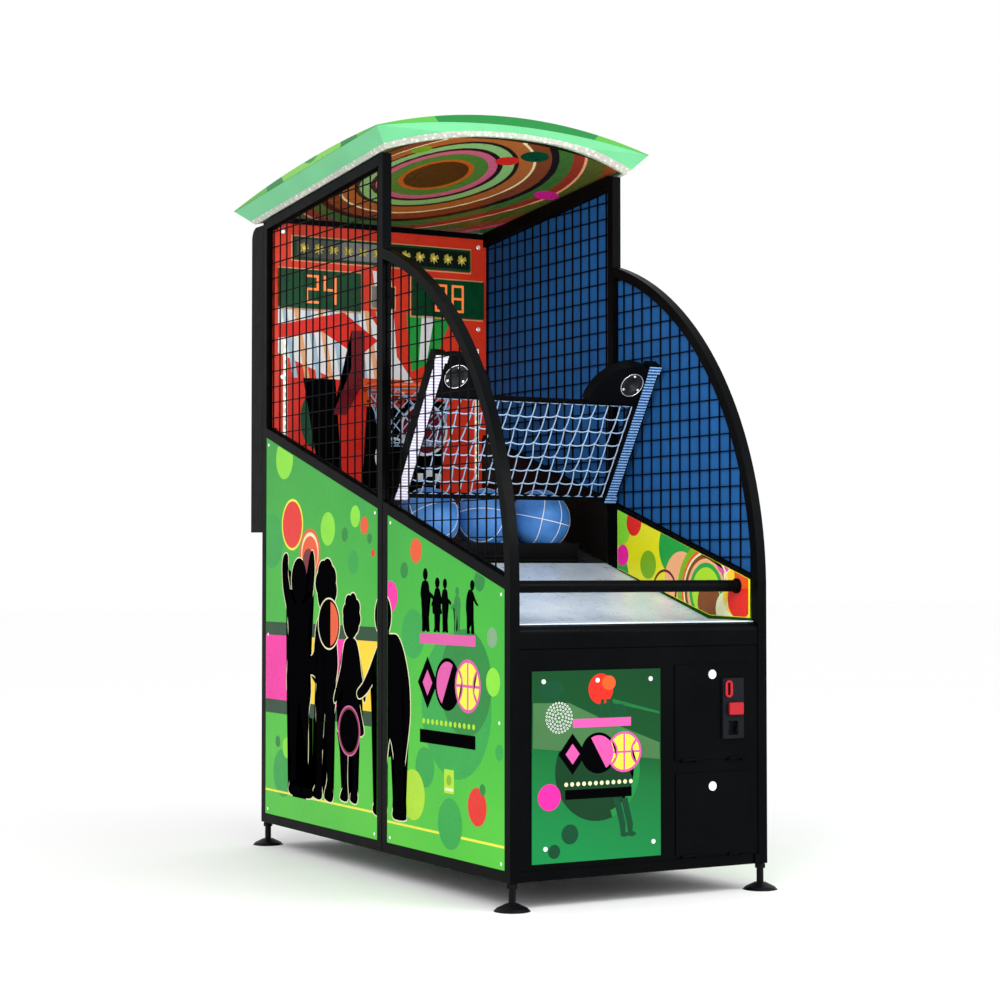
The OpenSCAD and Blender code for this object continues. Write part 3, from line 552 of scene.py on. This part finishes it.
def figure(art, x, z, h, pose, flip=1.0, wide=1.0, mat="black", layer=4, hair=0.0, outline=0.0):
    """Generic child silhouette standing at x, z with height h."""
    s = h / 100.0
    pts, (hu, hv, hr, hh) = POSES[pose]
    body = [(x + flip * wide * u * s, z + v * s) for u, v in smooth(pts, 3)]
    head = ellipse(x + flip * hu * s, z + hv * s, hr * s, hh * s, 28)
    neck = box2(x + flip * hu * 0.5 * s - 2.6 * s, z + 74 * s, x + flip * hu * 0.5 * s + 2.6 * s, z + 84 * s)
    blobs = [ellipse(x + flip * (hu - 1) * s + math.cos(t) * hr * s * 0.7,
                     z + (hv + 2) * s + math.sin(t) * hh * s * 0.7,
                     hair * s, n=16) for t in (0.2, 1.0, 1.8, 2.6, 3.4, 4.0)] if hair else []
    if outline:
        for poly in [body, head] + blobs:
            art.add(grow(poly, outline), INK["cream"], layer)
    for poly in [body, head, neck] + blobs:
        art.add(poly, INK[mat], layer + 1)


def grow(poly, d):
    """Outline moved outwards by d."""
    if area2(poly) < 0:
        poly = poly[::-1]
    out, n = [], len(poly)
    for i in range(n):
        a, b, c = poly[i - 1], poly[i], poly[(i + 1) % n]
        tx, ty = c[0] - a[0], c[1] - a[1]
        q = math.hypot(tx, ty) or 1.0
        out.append((b[0] + ty / q * d, b[1] - tx / q * d))
    return out


def emblem(art, u0, u1, v0, v1, layer, left=1.0):
    """Abstract badge: a diamond, a split disc and a ball, with no letter shapes."""
    w, h = u1 - u0, v1 - v0
    cy = (v0 + v1) / 2
    r = h * 0.46

    def u(t):
        return u0 + w * t if left > 0 else u1 - w * t

    c = INK
    art.add([(u(0.14) - r * 0.8, cy), (u(0.14), cy - r), (u(0.14) + r * 0.8, cy), (u(0.14), cy + r)],
            c["black"], layer)
    art.add([(u(0.14) - r * 0.4, cy), (u(0.14), cy - r * 0.5), (u(0.14) + r * 0.4, cy),
             (u(0.14), cy + r * 0.5)],
            c["rose"], layer + 1)
    art.add(ellipse(u(0.5), cy, r), c["black"], layer)
    art.add([(u(0.5) + r * 0.86 * math.cos(math.radians(a)), cy + r * 0.86 * math.sin(math.radians(a)))
             for a in range(-60, 121, 10)], c["rose"], layer + 1)
    art.add(ellipse(u(0.86), cy, r), c["lemon"], layer)
    art.ring(u(0.86), cy, r * 1.0, r * 0.12, c["rose"], layer + 1, 30)
    art.add(box2(u(0.86) - r * 0.96, cy - r * 0.05, u(0.86) + r * 0.96, cy + r * 0.05), c["rose"], layer + 2)
    art.add(box2(u(0.86) - r * 0.05, cy - r * 0.96, u(0.86) + r * 0.05, cy + r * 0.96), c["rose"], layer + 2)
    for d in (-1, 1):
        art.ring(u(0.86) + d * r * 1.15, cy, r * 0.78, r * 0.1, c["rose"], layer + 2, 16,
                 90 + 38 if d > 0 else -52, 270 - 38 if d > 0 else 52)


def trapezoid(y0, y1, lo=106.5, gap=4.0):
    """Side panel outline inside the frame, a little short of its edges."""
    top = 853.0 - gap
    return [(y0 + 2, lo), (y1 - 2, lo), (y1 - 2, top + 0.3075 * y1), (y0 + 2, top + 0.3075 * y0)]


def side_art(sign, name):
    out = Vector((sign, 0, 0))

    def place(u, v):
        return at(sign * SIDE_FACE, u, v)

    rear = Art(place, out, trapezoid(801, 1637))
    front = Art(place, out, trapezoid(31, 735))
    c = INK
    for y, z, r, k, layer in (
            (1489, 1279, 68, "lime", 0), (1154, 1043, 53, "lime", 0), (1030, 1023, 22, "dark", 0),
            (920, 1101, 33, "mid", 0), (956, 1078, 34, "lime", 1), (892, 1049, 27, "orange", 2),
            (856, 1009, 16, "dark", 1), (833, 965, 12, "red", 1), (970, 938, 38, "mid", 0),
            (1493, 250, 78, "mid", 0), (1463, 334, 34, "lime", 1), (1536, 350, 19, "dark", 1),
            (1421, 358, 19, "dark", 1), (1375, 250, 13, "dark", 1), (1590, 1010, 90, "mid", 0),
            (1425, 1061, 84, "lemon", 1), (1425, 1061, 76, "red", 2), (1288, 968, 78, "orange", 1),
            (1288, 968, 66, "cream", 2), (1288, 962, 60, "orange", 3), (1300, 940, 42, "maroon", 5)):
        rear.add(ellipse(y, z, r), c[k], layer)
    rear.add(box2(790, 699, 1640, 742), c["deep"], 1)
    rear.add(box2(790, 442, 1640, 487), c["deep"], 1)
    rear.add(box2(1314, 487, 1640, 699), c["pink"], 1)
    rear.add(box2(1214, 487, 1314, 699), c["yellow"], 1)
    rear.add(box2(1040, 487, 1214, 699), c["pink"], 1)
    rear.add(box2(790, 487, 968, 699), c["yellow"], 1)
    rear.add(box2(968, 487, 1040, 699), c["pink"], 1)
    rear.add(box2(790, 183, 1640, 190), c["lemon"], 1)
    front.add(box2(20, 165, 740, 172), c["lemon"], 1)
    figure(rear, 1370, 192, 790, "reach", flip=-1.0, wide=0.85, outline=4.0)
    figure(rear, 1172, 196, 740, "hold", wide=0.8, hair=5.5, outline=4.0)
    rear.add(ellipse(1143, 745, 78), c["black"], 6)
    rear.ring(1143, 745, 82, 5, c["cream"], 7)
    rear.add([(1143 + 70 * math.cos(t), 745 + 70 * math.sin(t)) for t in
              [math.radians(a) for a in range(100, 261, 10)]], c["orange"], 7)
    figure(rear, 985, 206, 640, "skirt", wide=0.82, hair=4.0, outline=4.0, layer=6)
    rear.add(ellipse(995, 419, 74), c["maroon"], 9)
    rear.add(ellipse(995, 419, 66), c["black"], 10)
    rear.ring(995, 419, 78, 5, c["rose"], 11)
    for y, z, r, k, layer in (
            (309, 533, 206, "mid", 0), (569, 728, 72, "mid", 0), (568, 262, 74, "yellowgreen", 1),
            (494, 347, 58, "mid", 0), (341, 200, 72, "mid", 1), (551, 970, 36, "orange", 1),
            (626, 913, 24, "dark", 1), (714, 836, 46, "pink", 1), (94, 609, 39, "lime", 1),
            (100, 730, 28, "sage", 0), (183, 262, 53, "red", 1), (153, 312, 16, "dark", 2),
            (170, 885, 30, "dark", 0), (60, 420, 22, "mid", 0), (252, 600, 150, "dark", 0)):
        front.add(ellipse(y, z, r), c[k], layer)
    figure(front, 492, 738, 186, "hold", flip=-1.0, layer=3)
    figure(front, 418, 738, 160, "skirt", layer=3)
    figure(front, 372, 738, 156, "hold", flip=-1.0, wide=0.85, layer=3)
    figure(front, 300, 738, 132, "hold", layer=2, mat="dark")
    figure(front, 222, 738, 152, "lean", layer=3)
    front.add(box2(193, 702, 524, 732), c["rose"], 5)
    front.add(box2(193, 418, 524, 456), c["black"], 5)
    emblem(front, 190, 524, 510, 672, 5, left=-1.0)
    for i in range(12):
        front.add(ellipse(500 - i * 27, 480, 8, n=16), c["yellowgreen"], 5)
    front.add(box2(318, 285, 376, 352), c["yellowgreen"], 2)
    front.add(ellipse(347, 322, 15), c["olive"], 3)
    front.add(box2(322, 292, 372, 300), c["cream"], 3)
    for art in (rear, front):
        figure(art, 716, 186, 672, "lean", flip=-1.0, wide=1.15, outline=4.0, layer=8)
    a = rear.done("print_rear_" + name, "cabinet")
    b = front.done("print_front_" + name, "cabinet")
    return a, b


side_art(-1, "left")
side_art(1, "right")


# The band ink is a painted reflection: a paler grey-green sheet of light lying across the glossy window.
INK_WIN = {"disc": ink("win_disc", 4, 56, 26, 0.12), "edge": ink("win_edge", 28, 132, 62, 0.12),
           "reflection_band": ink("win_painted_reflection", 66, 112, 66, 0.12), "streak": ink("win_streak", 26, 104, 52, 0.12)}


def window_art():
    def place(u, v):
        return at(u, WINDOW_FACE, v)

    art = Art(place, Vector((0, -1, 0)), box2(-354, 124, 55, 637), 0.06, 0.004)
    c = INK
    art.add(ellipse(-148, 364, 137), INK_WIN["disc"], 0)
    art.ring(-148, 364, 137, 20, INK_WIN["edge"], 1, 30, -70, 60)
    art.add(ellipse(-303, 299, 36), c["pink"], 1)
    art.add(ellipse(-138, 588, 40, 42), c["red"], 1)
    art.add(ellipse(-112, 604, 22, 20), c["orange"], 2)
    art.add(ellipse(-238, 196, 27), c["forest"], 1)
    art.add(ellipse(-288, 152, 19), c["forest"], 1)
    art.add(box2(-228, 484, -40, 508), c["rose"], 2)
    art.add(box2(-253, 290, -38, 316), c["black"], 2)
    # Painted reflection: a pale band across the window stands in for light reflected off its glossy face.
    art.add([(-354, 555), (-240, 552), (-120, 500), (55, 434), (55, 388), (-354, 433)], INK_WIN["reflection_band"], 0)
    art.add([(-100, 560), (55, 520), (55, 514), (-100, 548)], INK_WIN["streak"], 0)
    for dx in (0, 24):
        art.add([(-98 + dx, 286), (-76 + dx, 286), (-58 + dx, 214), (-60 + dx, 190), (-74 + dx, 190),
                 (-78 + dx, 214)],
                c["forest"], 1)
        art.add(ellipse(-62 + dx, 186, 14, 7, 20), c["forest"], 2)
    for x, w in ((-140, 1), (-108, -1)):
        art.add([(x - 6, 508), (x + 6, 508), (x + 6 + 8 * w, 560), (x - 6 + 8 * w, 560)], c["forest"], 1)
    art.add(ellipse(-76, 526, 22, 19), c["forest"], 1)
    art.add(ellipse(-296, 590, 40, 24), c["forest"], 1)
    emblem(art, -262, -30, 352, 474, 3)
    for i in range(12):
        art.add(ellipse(-250 + i * 19, 331, 6, n=14), c["cream"], 4)
    # speaker holes: rosette of small dark dots with pale rims
    for ring, count in ((0, 1), (12, 8), (22, 14), (31, 20), (40, 26)):
        for i in range(count):
            t = 2 * math.pi * i / max(count, 1) + ring
            x, z = -272 + ring * math.cos(t), 513 + ring * math.sin(t)
            art.add(ellipse(x, z, 3.2, n=10), c["white"], 2)
            art.add(ellipse(x, z, 1.5, n=10), c["black"], 3)
    return art.done("print_window", "cabinet")


window_art()


def inner_art(sign, name):
    """Loose circles and arches on the printed boards inside the throwing area."""
    keep = [(38, 778), (230, 782), (733, 919), (733, 1104), (38, 888)]

    def place(u, v):
        return at(sign * INNER_FACE, u, v)

    art = Art(place, Vector((-sign, 0, 0)), keep)
    c = INK
    shapes = ((718, 1050, 60, "lime", 0), (640, 1062, 42, "red", 1), (705, 960, 34, "pink", 2),
              (560, 930, 44, "olive", 1),
              (742, 900, 70, "mid", 0), (410, 985, 90, "mid", 0), (380, 880, 90, "peach", 0),
              (250, 850, 150, "olive", 1),
              (250, 850, 128, "orange", 2), (250, 850, 112, "brown", 3), (250, 850, 98, "peach", 4),
              (250, 850, 86, "mid", 5), (250, 850, 72, "yellowgreen", 6), (235, 820, 58, "brown", 7),
              (150, 800, 50, "cream", 8), (90, 850, 74, "yellow", 8), (80, 830, 60, "red", 9),
              (60, 905, 46, "orange", 10),
              (120, 900, 40, "cream", 7), (160, 940, 36, "rose", 7))
    for y, z, r, k, layer in shapes:
        art.add(ellipse(y, z, r), c[k], layer)
    art.ring(250, 850, 118, 7, c["cream"], 8, 40)
    art.ring(470, 850, 66, 8, c["maroon"], 3, 30)
    return art.done("print_inner_" + name, "cabinet")


inner_art(1, "right")
inner_art(-1, "left")


ROOF_TILT = math.radians(5.4)
ROOF_HINGE = (742.0, 2176.0)
ARCH_RISE, ARCH_HALF, CEIL_FRONT, CEIL_DEPTH, CEIL_BACK = 60.0, 430.0, 14.0, 891.0, 10.0


def ceiling_at(x, y):
    """Point on the underside of the ceiling: arched at the front, straight at the back."""
    c, s = math.cos(ROOF_TILT), math.sin(ROOF_TILT)
    r = (ARCH_HALF ** 2 + ARCH_RISE ** 2) / (2 * ARCH_RISE)
    along = (y - ROOF_HINGE[0]) / c
    front = ARCH_RISE - r + math.sqrt(r * r - x * x) + 8
    z = front + (CEIL_BACK - front) * (along - CEIL_FRONT) / CEIL_DEPTH
    return at(x, ROOF_HINGE[0] + along * c + z * s, ROOF_HINGE[1] - along * s + z * c)


def ceiling_art():
    art = Art(ceiling_at, Vector((0, -0.09, -1)).normalized(), box2(-400, 770, 400, 1600), 0.5, 0.05)
    for x, y, r, k in ((91, 910, 38, "red"), (150, 837, 45, "forest"), (359, 1121, 42, "pink"),
                       (-330, 1010, 30, "red"), (-250, 850, 34, "olive")):
        art.add(ellipse(x, y, r), INK[k], 0)
    art.done("print_ceiling", "cabinet")


ceiling_art()


# ---------------------------------------------------------------- tubes and cords
def tube(bm, pts, r, sides=8, closed=False, mat=0):
    """Round tube along a list of points, capped when open."""
    pts = [Vector(p) for p in pts]
    n = len(pts)
    rings = []
    prev = None
    for i, p in enumerate(pts):
        if closed:
            d = pts[(i + 1) % n] - pts[i - 1]
        else:
            d = pts[min(i + 1, n - 1)] - pts[max(i - 1, 0)]
        d.normalize()
        if prev is None:
            ref = Vector((0, 0, 1)) if abs(d.z) < 0.9 else Vector((1, 0, 0))
            side = d.cross(ref).normalized()
        else:
            side = (prev - d * prev.dot(d)).normalized()
        prev = side
        up = d.cross(side)
        rings.append([bm.verts.new(p + side * r * math.cos(2 * math.pi * k / sides) +
                                   up * r * math.sin(2 * math.pi * k / sides)) for k in range(sides)])
    faces = []
    for i in range(n if closed else n - 1):
        a, b = rings[i], rings[(i + 1) % n]
        for k in range(sides):
            faces.append(bm.faces.new((a[k], a[(k + 1) % sides], b[(k + 1) % sides], b[k])))
    if not closed:
        faces.append(bm.faces.new(rings[0][::-1]))
        faces.append(bm.faces.new(rings[-1]))
    for f in faces:
        f.material_index = mat
        f.smooth = True


def ball_seams(i):
    """Eight-panel basketball seams as slightly raised white lines."""
    lo, hi = (Vector(v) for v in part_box("ball_%d" % i))
    c = (lo + hi) / 2
    r = (hi - lo).x / 2 - 0.0007
    turn = Matrix.Rotation(math.radians(-24 + 37 * i), 3, "Z") @ Matrix.Rotation(math.radians(16 - 9 * i), 3,
            "X") \
        @ Matrix.Rotation(math.radians(10 * i), 3, "Y")
    bm = bmesh.new()

    def loop(fn, n=72):
        tube(bm, [c + turn @ (fn(2 * math.pi * k / n).normalized() * r) for k in range(n)], 0.0016, 6, True)

    loop(lambda t: Vector((math.cos(t), math.sin(t), 0)))
    loop(lambda t: Vector((0, math.cos(t), math.sin(t))))
    for s in (-1, 1):
        loop(lambda t: Vector((s * (0.62 + 0.2 * math.cos(2 * t)), math.cos(t), math.sin(t))))
    return finish_mesh("ball_seams_%d" % i, bm, [INK["white"]], "ball_%d" % i, True)


for i in (1, 2, 3):
    ball_seams(i)

LEAN = math.radians(32.8)
NET_ORIGIN = (754.0, 1125.0)


def net_at(x, y, z):
    """Point in the leaning net's own frame, millimetres."""
    c, s = math.cos(LEAN), math.sin(LEAN)
    return at(x, NET_ORIGIN[0] + y * c - z * s, NET_ORIGIN[1] + y * s + z * c)


def ball_stop_net():
    bm = bmesh.new()
    cols, rows = 17, 8
    w, top, low = 344.0, 344.0, 15.0
    grid = {}
    for i in range(cols):
        for j in range(rows):
            u = -w + 2 * w * i / (cols - 1)
            v = low + (top - low) * j / (rows - 1)
            inside = 0 < j < rows - 1 and 0 < i < cols - 1
            wob = 4.5 if inside else 0.0
            sag = -5.0 * math.sin(math.pi * j / (rows - 1)) * (0.6 + 0.4 * math.sin(i * 1.7))
            grid[i, j] = net_at(u + RNG.uniform(-wob, wob), 16 + RNG.uniform(-wob, wob),
                                v + (sag if inside else 0))

    def strand(pts):
        fine = []
        for a, b in zip(pts[:-1], pts[1:]):
            for k in range(4):
                t = k / 4
                q = a.lerp(b, t)
                fine.append(q + Vector((0, 0, -0.004)) * (4 * t * (1 - t)))
        fine.append(pts[-1])
        tube(bm, fine, 0.0021, 6)

    for j in range(rows):
        strand([grid[i, j] for i in range(cols)])
    for i in range(cols):
        strand([grid[i, j] for j in range(rows)])
    for i in range(cols):
        for j in range(rows):
            p = grid[i, j]
            m = Matrix.Translation(p) @ Matrix.Rotation(RNG.uniform(0, 3), 4,
                                                        "Y") @ Matrix.Diagonal((1.3, 1.0, 0.9, 1))
            bmesh.ops.create_icosphere(bm, subdivisions=1, radius=0.0036, matrix=m)
    ob = finish_mesh("ball_stop_net", bm, [M["cord_white"]], "cabinet", True)
    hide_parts("ball_net")


ball_stop_net()


def hoop_net():
    lo, hi = (Vector(v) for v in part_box("hoop_net"))
    c = (lo + hi) / 2
    r0 = (hi.x - lo.x) / 2 - 0.002
    h = hi.z - lo.z
    bm = bmesh.new()
    n, rows = 12, 5

    def pt(a, t):
        r = r0 * (1 - 0.27 * math.sin(t * math.pi / 2))
        return Vector((c.x + r * math.cos(a), c.y + r * math.sin(a), hi.z - 0.001 - (h - 0.004) * t))

    for i in range(n):
        for s in (-1, 1):
            pts = []
            for k in range(rows * 6 + 1):
                t = k / (rows * 6)
                a = 2 * math.pi * i / n + s * abs(((t * rows) % 2) - 1) * math.pi / n
                pts.append(pt(a, t))
            tube(bm, pts, 0.0019, 6)
    for t in (0.0, 1.0):
        tube(bm, [pt(2 * math.pi * k / 48, t) for k in range(48)], 0.0022, 6, True)
    ob = finish_mesh("hoop_cords", bm, [M["cord_white"]], "cabinet", True)
    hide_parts("hoop_net")


hoop_net()


# ---------------------------------------------------------------- backboard
def star(cx, cz, r, k=0.42, n=8):
    return [(cx + (r if i % 2 == 0 else r * k) * math.sin(math.pi * i / n),
             cz + (r if i % 2 == 0 else r * k) * math.cos(math.pi * i / n)) for i in range(2 * n)]


SEG = {"0": "abcdef", "1": "bc", "2": "abged", "3": "abgcd", "4": "fgbc", "5": "afgcd", "6": "afgedc",
       "7": "abc",
       "8": "abcdefg", "9": "abcdfg"}


def digit(art, ch, cx, cz, w, h, mat, layer):
    t = w * 0.17
    hw, hh = w / 2, h / 2
    seg = {"a": box2(cx - hw, cz + hh - t, cx + hw, cz + hh),
           "d": box2(cx - hw, cz - hh, cx + hw, cz - hh + t),
           "g": box2(cx - hw, cz - t / 2, cx + hw, cz + t / 2),
           "f": box2(cx - hw, cz + 2, cx - hw + t, cz + hh),
           "e": box2(cx - hw, cz - hh, cx - hw + t, cz - 2), "b": box2(cx + hw - t, cz + 2, cx + hw, cz + hh),
           "c": box2(cx + hw - t, cz - hh, cx + hw, cz - 2)}
    for s in SEG[ch]:
        art.add(seg[s], mat, layer)


LIT = {"amber": glow("lit_amber", rgb(214, 190, 110), 0.5), "star": glow("lit_star", rgb(170, 160, 70), 0.35),
       "orange": glow("lit_orange", rgb(232, 120, 60), 0.55),
       "bulb": glow("lit_bulb", rgb(240, 244, 214), 1.2),
       "pane": coated("display_pane", rgb(18, 26, 14), 0.15, 0.2, 500.0, 0.02, coat=0.6, wear=False)}


def board_art():
    y = BOARD_FACE

    def place(u, v):
        return at(u, y, v)

    art = Art(place, Vector((0, -1, 0)), box2(-392, 1180, 392, 2074), 0.2, 0.02)
    c = INK
    art.add([(-392, 1800), (-60, 1800), (120, 1560), (-20, 1500), (-392, 1640)], c["white"], 0)
    for i in range(9):
        x = -380 + i * 44
        art.add([(x, 1800), (x + 18, 1800), (x + 60, 1560), (x + 42, 1560)],
                c["peach"] if i % 2 else c["skyblue"], 1)
    art.add([(-392, 1735), (-150, 1790), (-20, 1700), (-90, 1640), (-230, 1720), (-392, 1690)], c["red"], 2)
    art.add([(-40, 1940), (30, 1940), (60, 1560), (10, 1560)], c["white"], 1)
    art.add([(90, 1800), (270, 1800), (200, 1640), (110, 1600)], c["mid"], 1)
    art.add([(150, 1800), (200, 1800), (170, 1640), (140, 1640)], c["white"], 2)
    art.add([(-392, 1560), (-60, 1560), (-20, 1500), (-80, 1180), (-392, 1180)], c["red"], 3)
    art.add([(-60, 1500), (250, 1500), (220, 1180), (-80, 1180)], c["black"], 3)
    art.add(ellipse(-250, 1420, 60, 100), c["forest"], 4)
    art.add([(-300, 1560), (-180, 1560), (-150, 1180), (-230, 1180)], c["black"], 4)
    art.add(ellipse(160, 1400, 90), c["maroon"], 4)
    art.ring(160, 1400, 92, 9, c["white"], 5, 30)
    art.ring(40, 1300, 70, 8, c["white"], 5, 24, 20, 250)
    art.ring(160, 1400, 60, 6, c["white"], 5, 20, 100, 300)
    for i in range(5):
        art.add(box2(60 + i * 36, 1225 + (i % 2) * 12, 84 + i * 36, 1248 + (i % 2) * 12), c["white"], 5)
    art.add([(-120, 1730), (-70, 1730), (-70, 1560), (-140, 1440), (-190, 1440), (-120, 1600)], c["maroon"],
            5)
    art.add(box2(-44, 1812, 46, 1888), LIT["pane"], 4)
    for x0, x1, z0, z1 in ((-47, 49, 1809, 1891), (-398, -84, 1789, 1931), (104, 397, 1789, 1931),
                           (-345, 345, 1953, 2041)):
        for a in (box2(x0, z0, x1, z0 + 4), box2(x0, z1 - 4, x1, z1), box2(x0, z0, x0 + 4, z1),
                  box2(x1 - 4, z0, x1, z1)):
            art.add(a, c["peach"], 6)
    art.done("print_board", "cabinet")

    strip = Art(lambda u, v: at(u, y - 11, v), Vector((0, -1, 0)), box2(-337, 1960, 337, 2034), 0.2, 0.02)
    strip.add(box2(-330, 1967, 330, 2028), LIT["pane"], 0)
    for i in range(12):
        strip.add(star(-302.5 + i * 55, 1997, 20), LIT["star"], 1)
        strip.add(ellipse(-302.5 + i * 55, 1997, 4, n=12), LIT["amber"], 2)
    strip.done("print_message", "cabinet")

    for x0, x1, text, name in ((-392, -90, "24", "time"), (110, 391, "08", "score")):
        box_art = Art(lambda u, v: at(u, y - 16, v), Vector((0, -1, 0)), box2(x0, 1796, x1, 1924), 0.2, 0.02)
        mid = (x0 + x1) / 2
        for k, ch in enumerate(text):
            digit(box_art, ch, mid - 33 + k * 66, 1860, 48, 96, LIT["orange"], 0)
        box_art.done("digits_" + name, "cabinet")


board_art()


def bulbs():
    """Row of small round lights on each upright strip."""
    lo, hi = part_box("led_strips")
    bm = bmesh.new()
    for s in (-1, 1):
        for k in range(17):
            z = lo[2] + 0.014 + k * (hi[2] - lo[2] - 0.028) / 16
            m = Matrix.Translation((s * 0.367, lo[1] - 0.001, z)) @ Matrix.Diagonal((1, 0.6, 1, 1))
            bmesh.ops.create_icosphere(bm, subdivisions=2, radius=0.0058, matrix=m)
    finish_mesh("strip_bulbs", bm, [LIT["bulb"]], "cabinet", True)


bulbs()


# ---------------------------------------------------------------- small fittings
def dome(bm, p, normal, r, h, seg=20):
    """Rounded screw head with a shallow round recess."""
    n = Vector(normal).normalized()
    ref = Vector((0, 0, 1)) if abs(n.z) < 0.9 else Vector((1, 0, 0))
    a = n.cross(ref).normalized()
    b = n.cross(a)
    rings = []
    for t, k in ((0.0, 1.0), (0.35, 0.98), (0.75, 0.8), (1.0, 0.45)):
        rings.append([bm.verts.new(p + n * h * t + (a * math.cos(2 * math.pi * i / seg) +
                                                    b * math.sin(2 * math.pi * i / seg)) * r * k) for i in range(seg)])
    for q, w in zip(rings[:-1], rings[1:]):
        for i in range(seg):
            bm.faces.new((q[i], q[(i + 1) % seg], w[(i + 1) % seg], w[i])).smooth = True
    inner = [bm.verts.new(p + n * h * 0.62 + (a * math.cos(2 * math.pi * i / seg) +
                                              b * math.sin(2 * math.pi * i / seg)) * r * 0.3) for i in range(seg)]
    for i in range(seg):
        bm.faces.new((rings[-1][i], rings[-1][(i + 1) % seg], inner[(i + 1) % seg], inner[i]))
    bm.faces.new(inner)
    bm.faces.new(rings[0][::-1])


def screws():
    """Screws along the panel edges, the rails and the backboard."""
    bm = bmesh.new()
    for s in (-1, 1):
        for y, z in ((50, 848), (50, 122), (716, 122), (716, 1054), (60, 500), (820, 122), (1618, 122),
                     (820, 1086),
                     (1618, 1330), (1618, 700)):
            dome(bm, at(s * (SIDE_FACE + 0.05), y, z), (s, 0, 0), 0.005, 0.0009)
        for y in (120, 260, 400, 540, 680):
            dome(bm, at(s * 395.0, y, 853 + 0.3075 * y + 16), (-s, 0, 0), 0.0055, 0.002)
    for x, z in ((-375, 2050), (375, 2050), (-375, 1560), (375, 1760)):
        dome(bm, at(x, BOARD_FACE, z), (0, -1, 0), 0.008, 0.002)
    finish_mesh("panel_screws", bm, [M["bright_metal"]], "cabinet")


screws()


def speaker_fittings():
    """Three screws and a thin bright ring on each small speaker."""
    bm = bmesh.new()
    for s in (-1, 1):
        for k in range(3):
            a = math.radians(90 + 120 * k)
            p = net_at(s * 306 + 30 * math.cos(a), -3.6, 424 + 30 * math.sin(a))
            dome(bm, p, net_at(0, -1, 0) - net_at(0, 0, 0), 0.0042, 0.0014)
        ring = [net_at(s * 306 + 38 * math.cos(2 * math.pi * k / 48), -3.4,
                       424 + 38 * math.sin(2 * math.pi * k / 48))
                for k in range(48)]
        tube(bm, ring, 0.0009, 8, True)
    finish_mesh("speaker_screws", bm, [M["bright_metal"]], "cabinet")


speaker_fittings()


def coin_entry_lens():
    """Clear red moulding around the coin slot, made as two halves."""
    bm = bmesh.new()
    y0, y1, cx, r = -10.82, -12.6, 285.0, 12.5
    for s in (-1, 1):
        outer = [(cx + s * r * math.cos(math.radians(a)),
                  589 + r * math.sin(math.radians(a))) for a in range(90, -1, -10)]
        outer += [(cx + s * r * math.cos(math.radians(a)),
                   565 + r * math.sin(math.radians(a))) for a in range(0, -91, -10)]
        loop = outer + [(cx, 559.5), (cx + s * 4.5, 559.5), (cx + s * 4.5, 594.5), (cx, 594.5)]
        back = [bm.verts.new(at(x, y0, z)) for x, z in loop]
        front = [bm.verts.new(at(x, y1, z)) for x, z in loop]
        n = len(loop)
        faces = [bm.faces.new(back), bm.faces.new(front[::-1])]
        for i in range(n):
            faces.append(bm.faces.new((back[i], front[i], front[(i + 1) % n], back[(i + 1) % n])))
    bmesh.ops.triangulate(bm, faces=[f for f in bm.faces if len(f.verts) > 4])
    finish_mesh("coin_entry_lens", bm, [M["button_red"]], "coin_door")


coin_entry_lens()


# ---------------------------------------------------------------- stage, light, camera
def stage():
    bm = bmesh.new()
    for p in ((-40, -40), (40, -40), (40, 40), (-40, 40)):
        bm.verts.new((p[0], p[1], 0.0))
    bm.verts.ensure_lookup_table()
    bm.faces.new(bm.verts)
    me = bpy.data.meshes.new("floor")
    bm.to_mesh(me)
    bm.free()
    f = Mat("floor_pale")
    f.set(Base_Color=f.ramp(f.noise(0.6), [(0.3, (0.985, 0.985, 0.985, 1)), (0.7, (0.995, 0.995, 0.995, 1))]),
          Roughness=f.span(f.noise(4.0), 0.6, 0.75))
    me.materials.append(f.m)
    ob = bpy.data.objects.new("floor", me)
    bpy.context.scene.collection.objects.link(ob)


stage()


def area(name, loc, target, size, power, color=(1, 1, 1)):
    d = bpy.data.lights.new(name, "AREA")
    d.shape = "RECTANGLE"
    d.size, d.size_y = size
    d.energy = power
    d.color = color
    ob = bpy.data.objects.new(name, d)
    ob.location = loc
    ob.rotation_euler = (Vector(target) - Vector(loc)).to_track_quat("-Z", "Y").to_euler()
    bpy.context.scene.collection.objects.link(ob)


world = bpy.data.worlds.new("studio")
world.use_nodes = True
world.node_tree.nodes["Background"].inputs["Color"].default_value = (1.0, 1.0, 1.0, 1.0)
world.node_tree.nodes["Background"].inputs["Strength"].default_value = 1.0
bpy.context.scene.world = world
area("key", (-3.6, -3.4, 3.6), (0, 0, 1.1), (2.4, 2.4), 78)
area("fill", (3.2, -3.8, 2.4), (0, 0, 1.0), (2.2, 2.2), 45)
area("inside", (0.0, -1.6, 1.5), (0, 0.6, 1.5), (0.9, 0.6), 14)

# The camera stands at the picture's viewing angle.
CAMERA_AT = (-3337.96, -5075.38, 917.14)
LENS_MM, SENSOR_MM = 78.42, 36.0
PSI, PITCH = math.radians(29.59), math.radians(1.81)
cam_data = bpy.data.cameras.new("camera")
cam_data.lens = LENS_MM
cam_data.sensor_width = SENSOR_MM
cam_data.clip_end = 60.0
cam = bpy.data.objects.new("camera", cam_data)
cam.location = at(*CAMERA_AT)
look = Vector((math.sin(PSI) * math.cos(PITCH), math.cos(PSI) * math.cos(PITCH), math.sin(PITCH)))
cam.rotation_euler = look.to_track_quat("-Z", "Y").to_euler()
bpy.context.scene.collection.objects.link(cam)
bpy.context.scene.camera = cam
bpy.context.scene.view_settings.view_transform = "Standard"
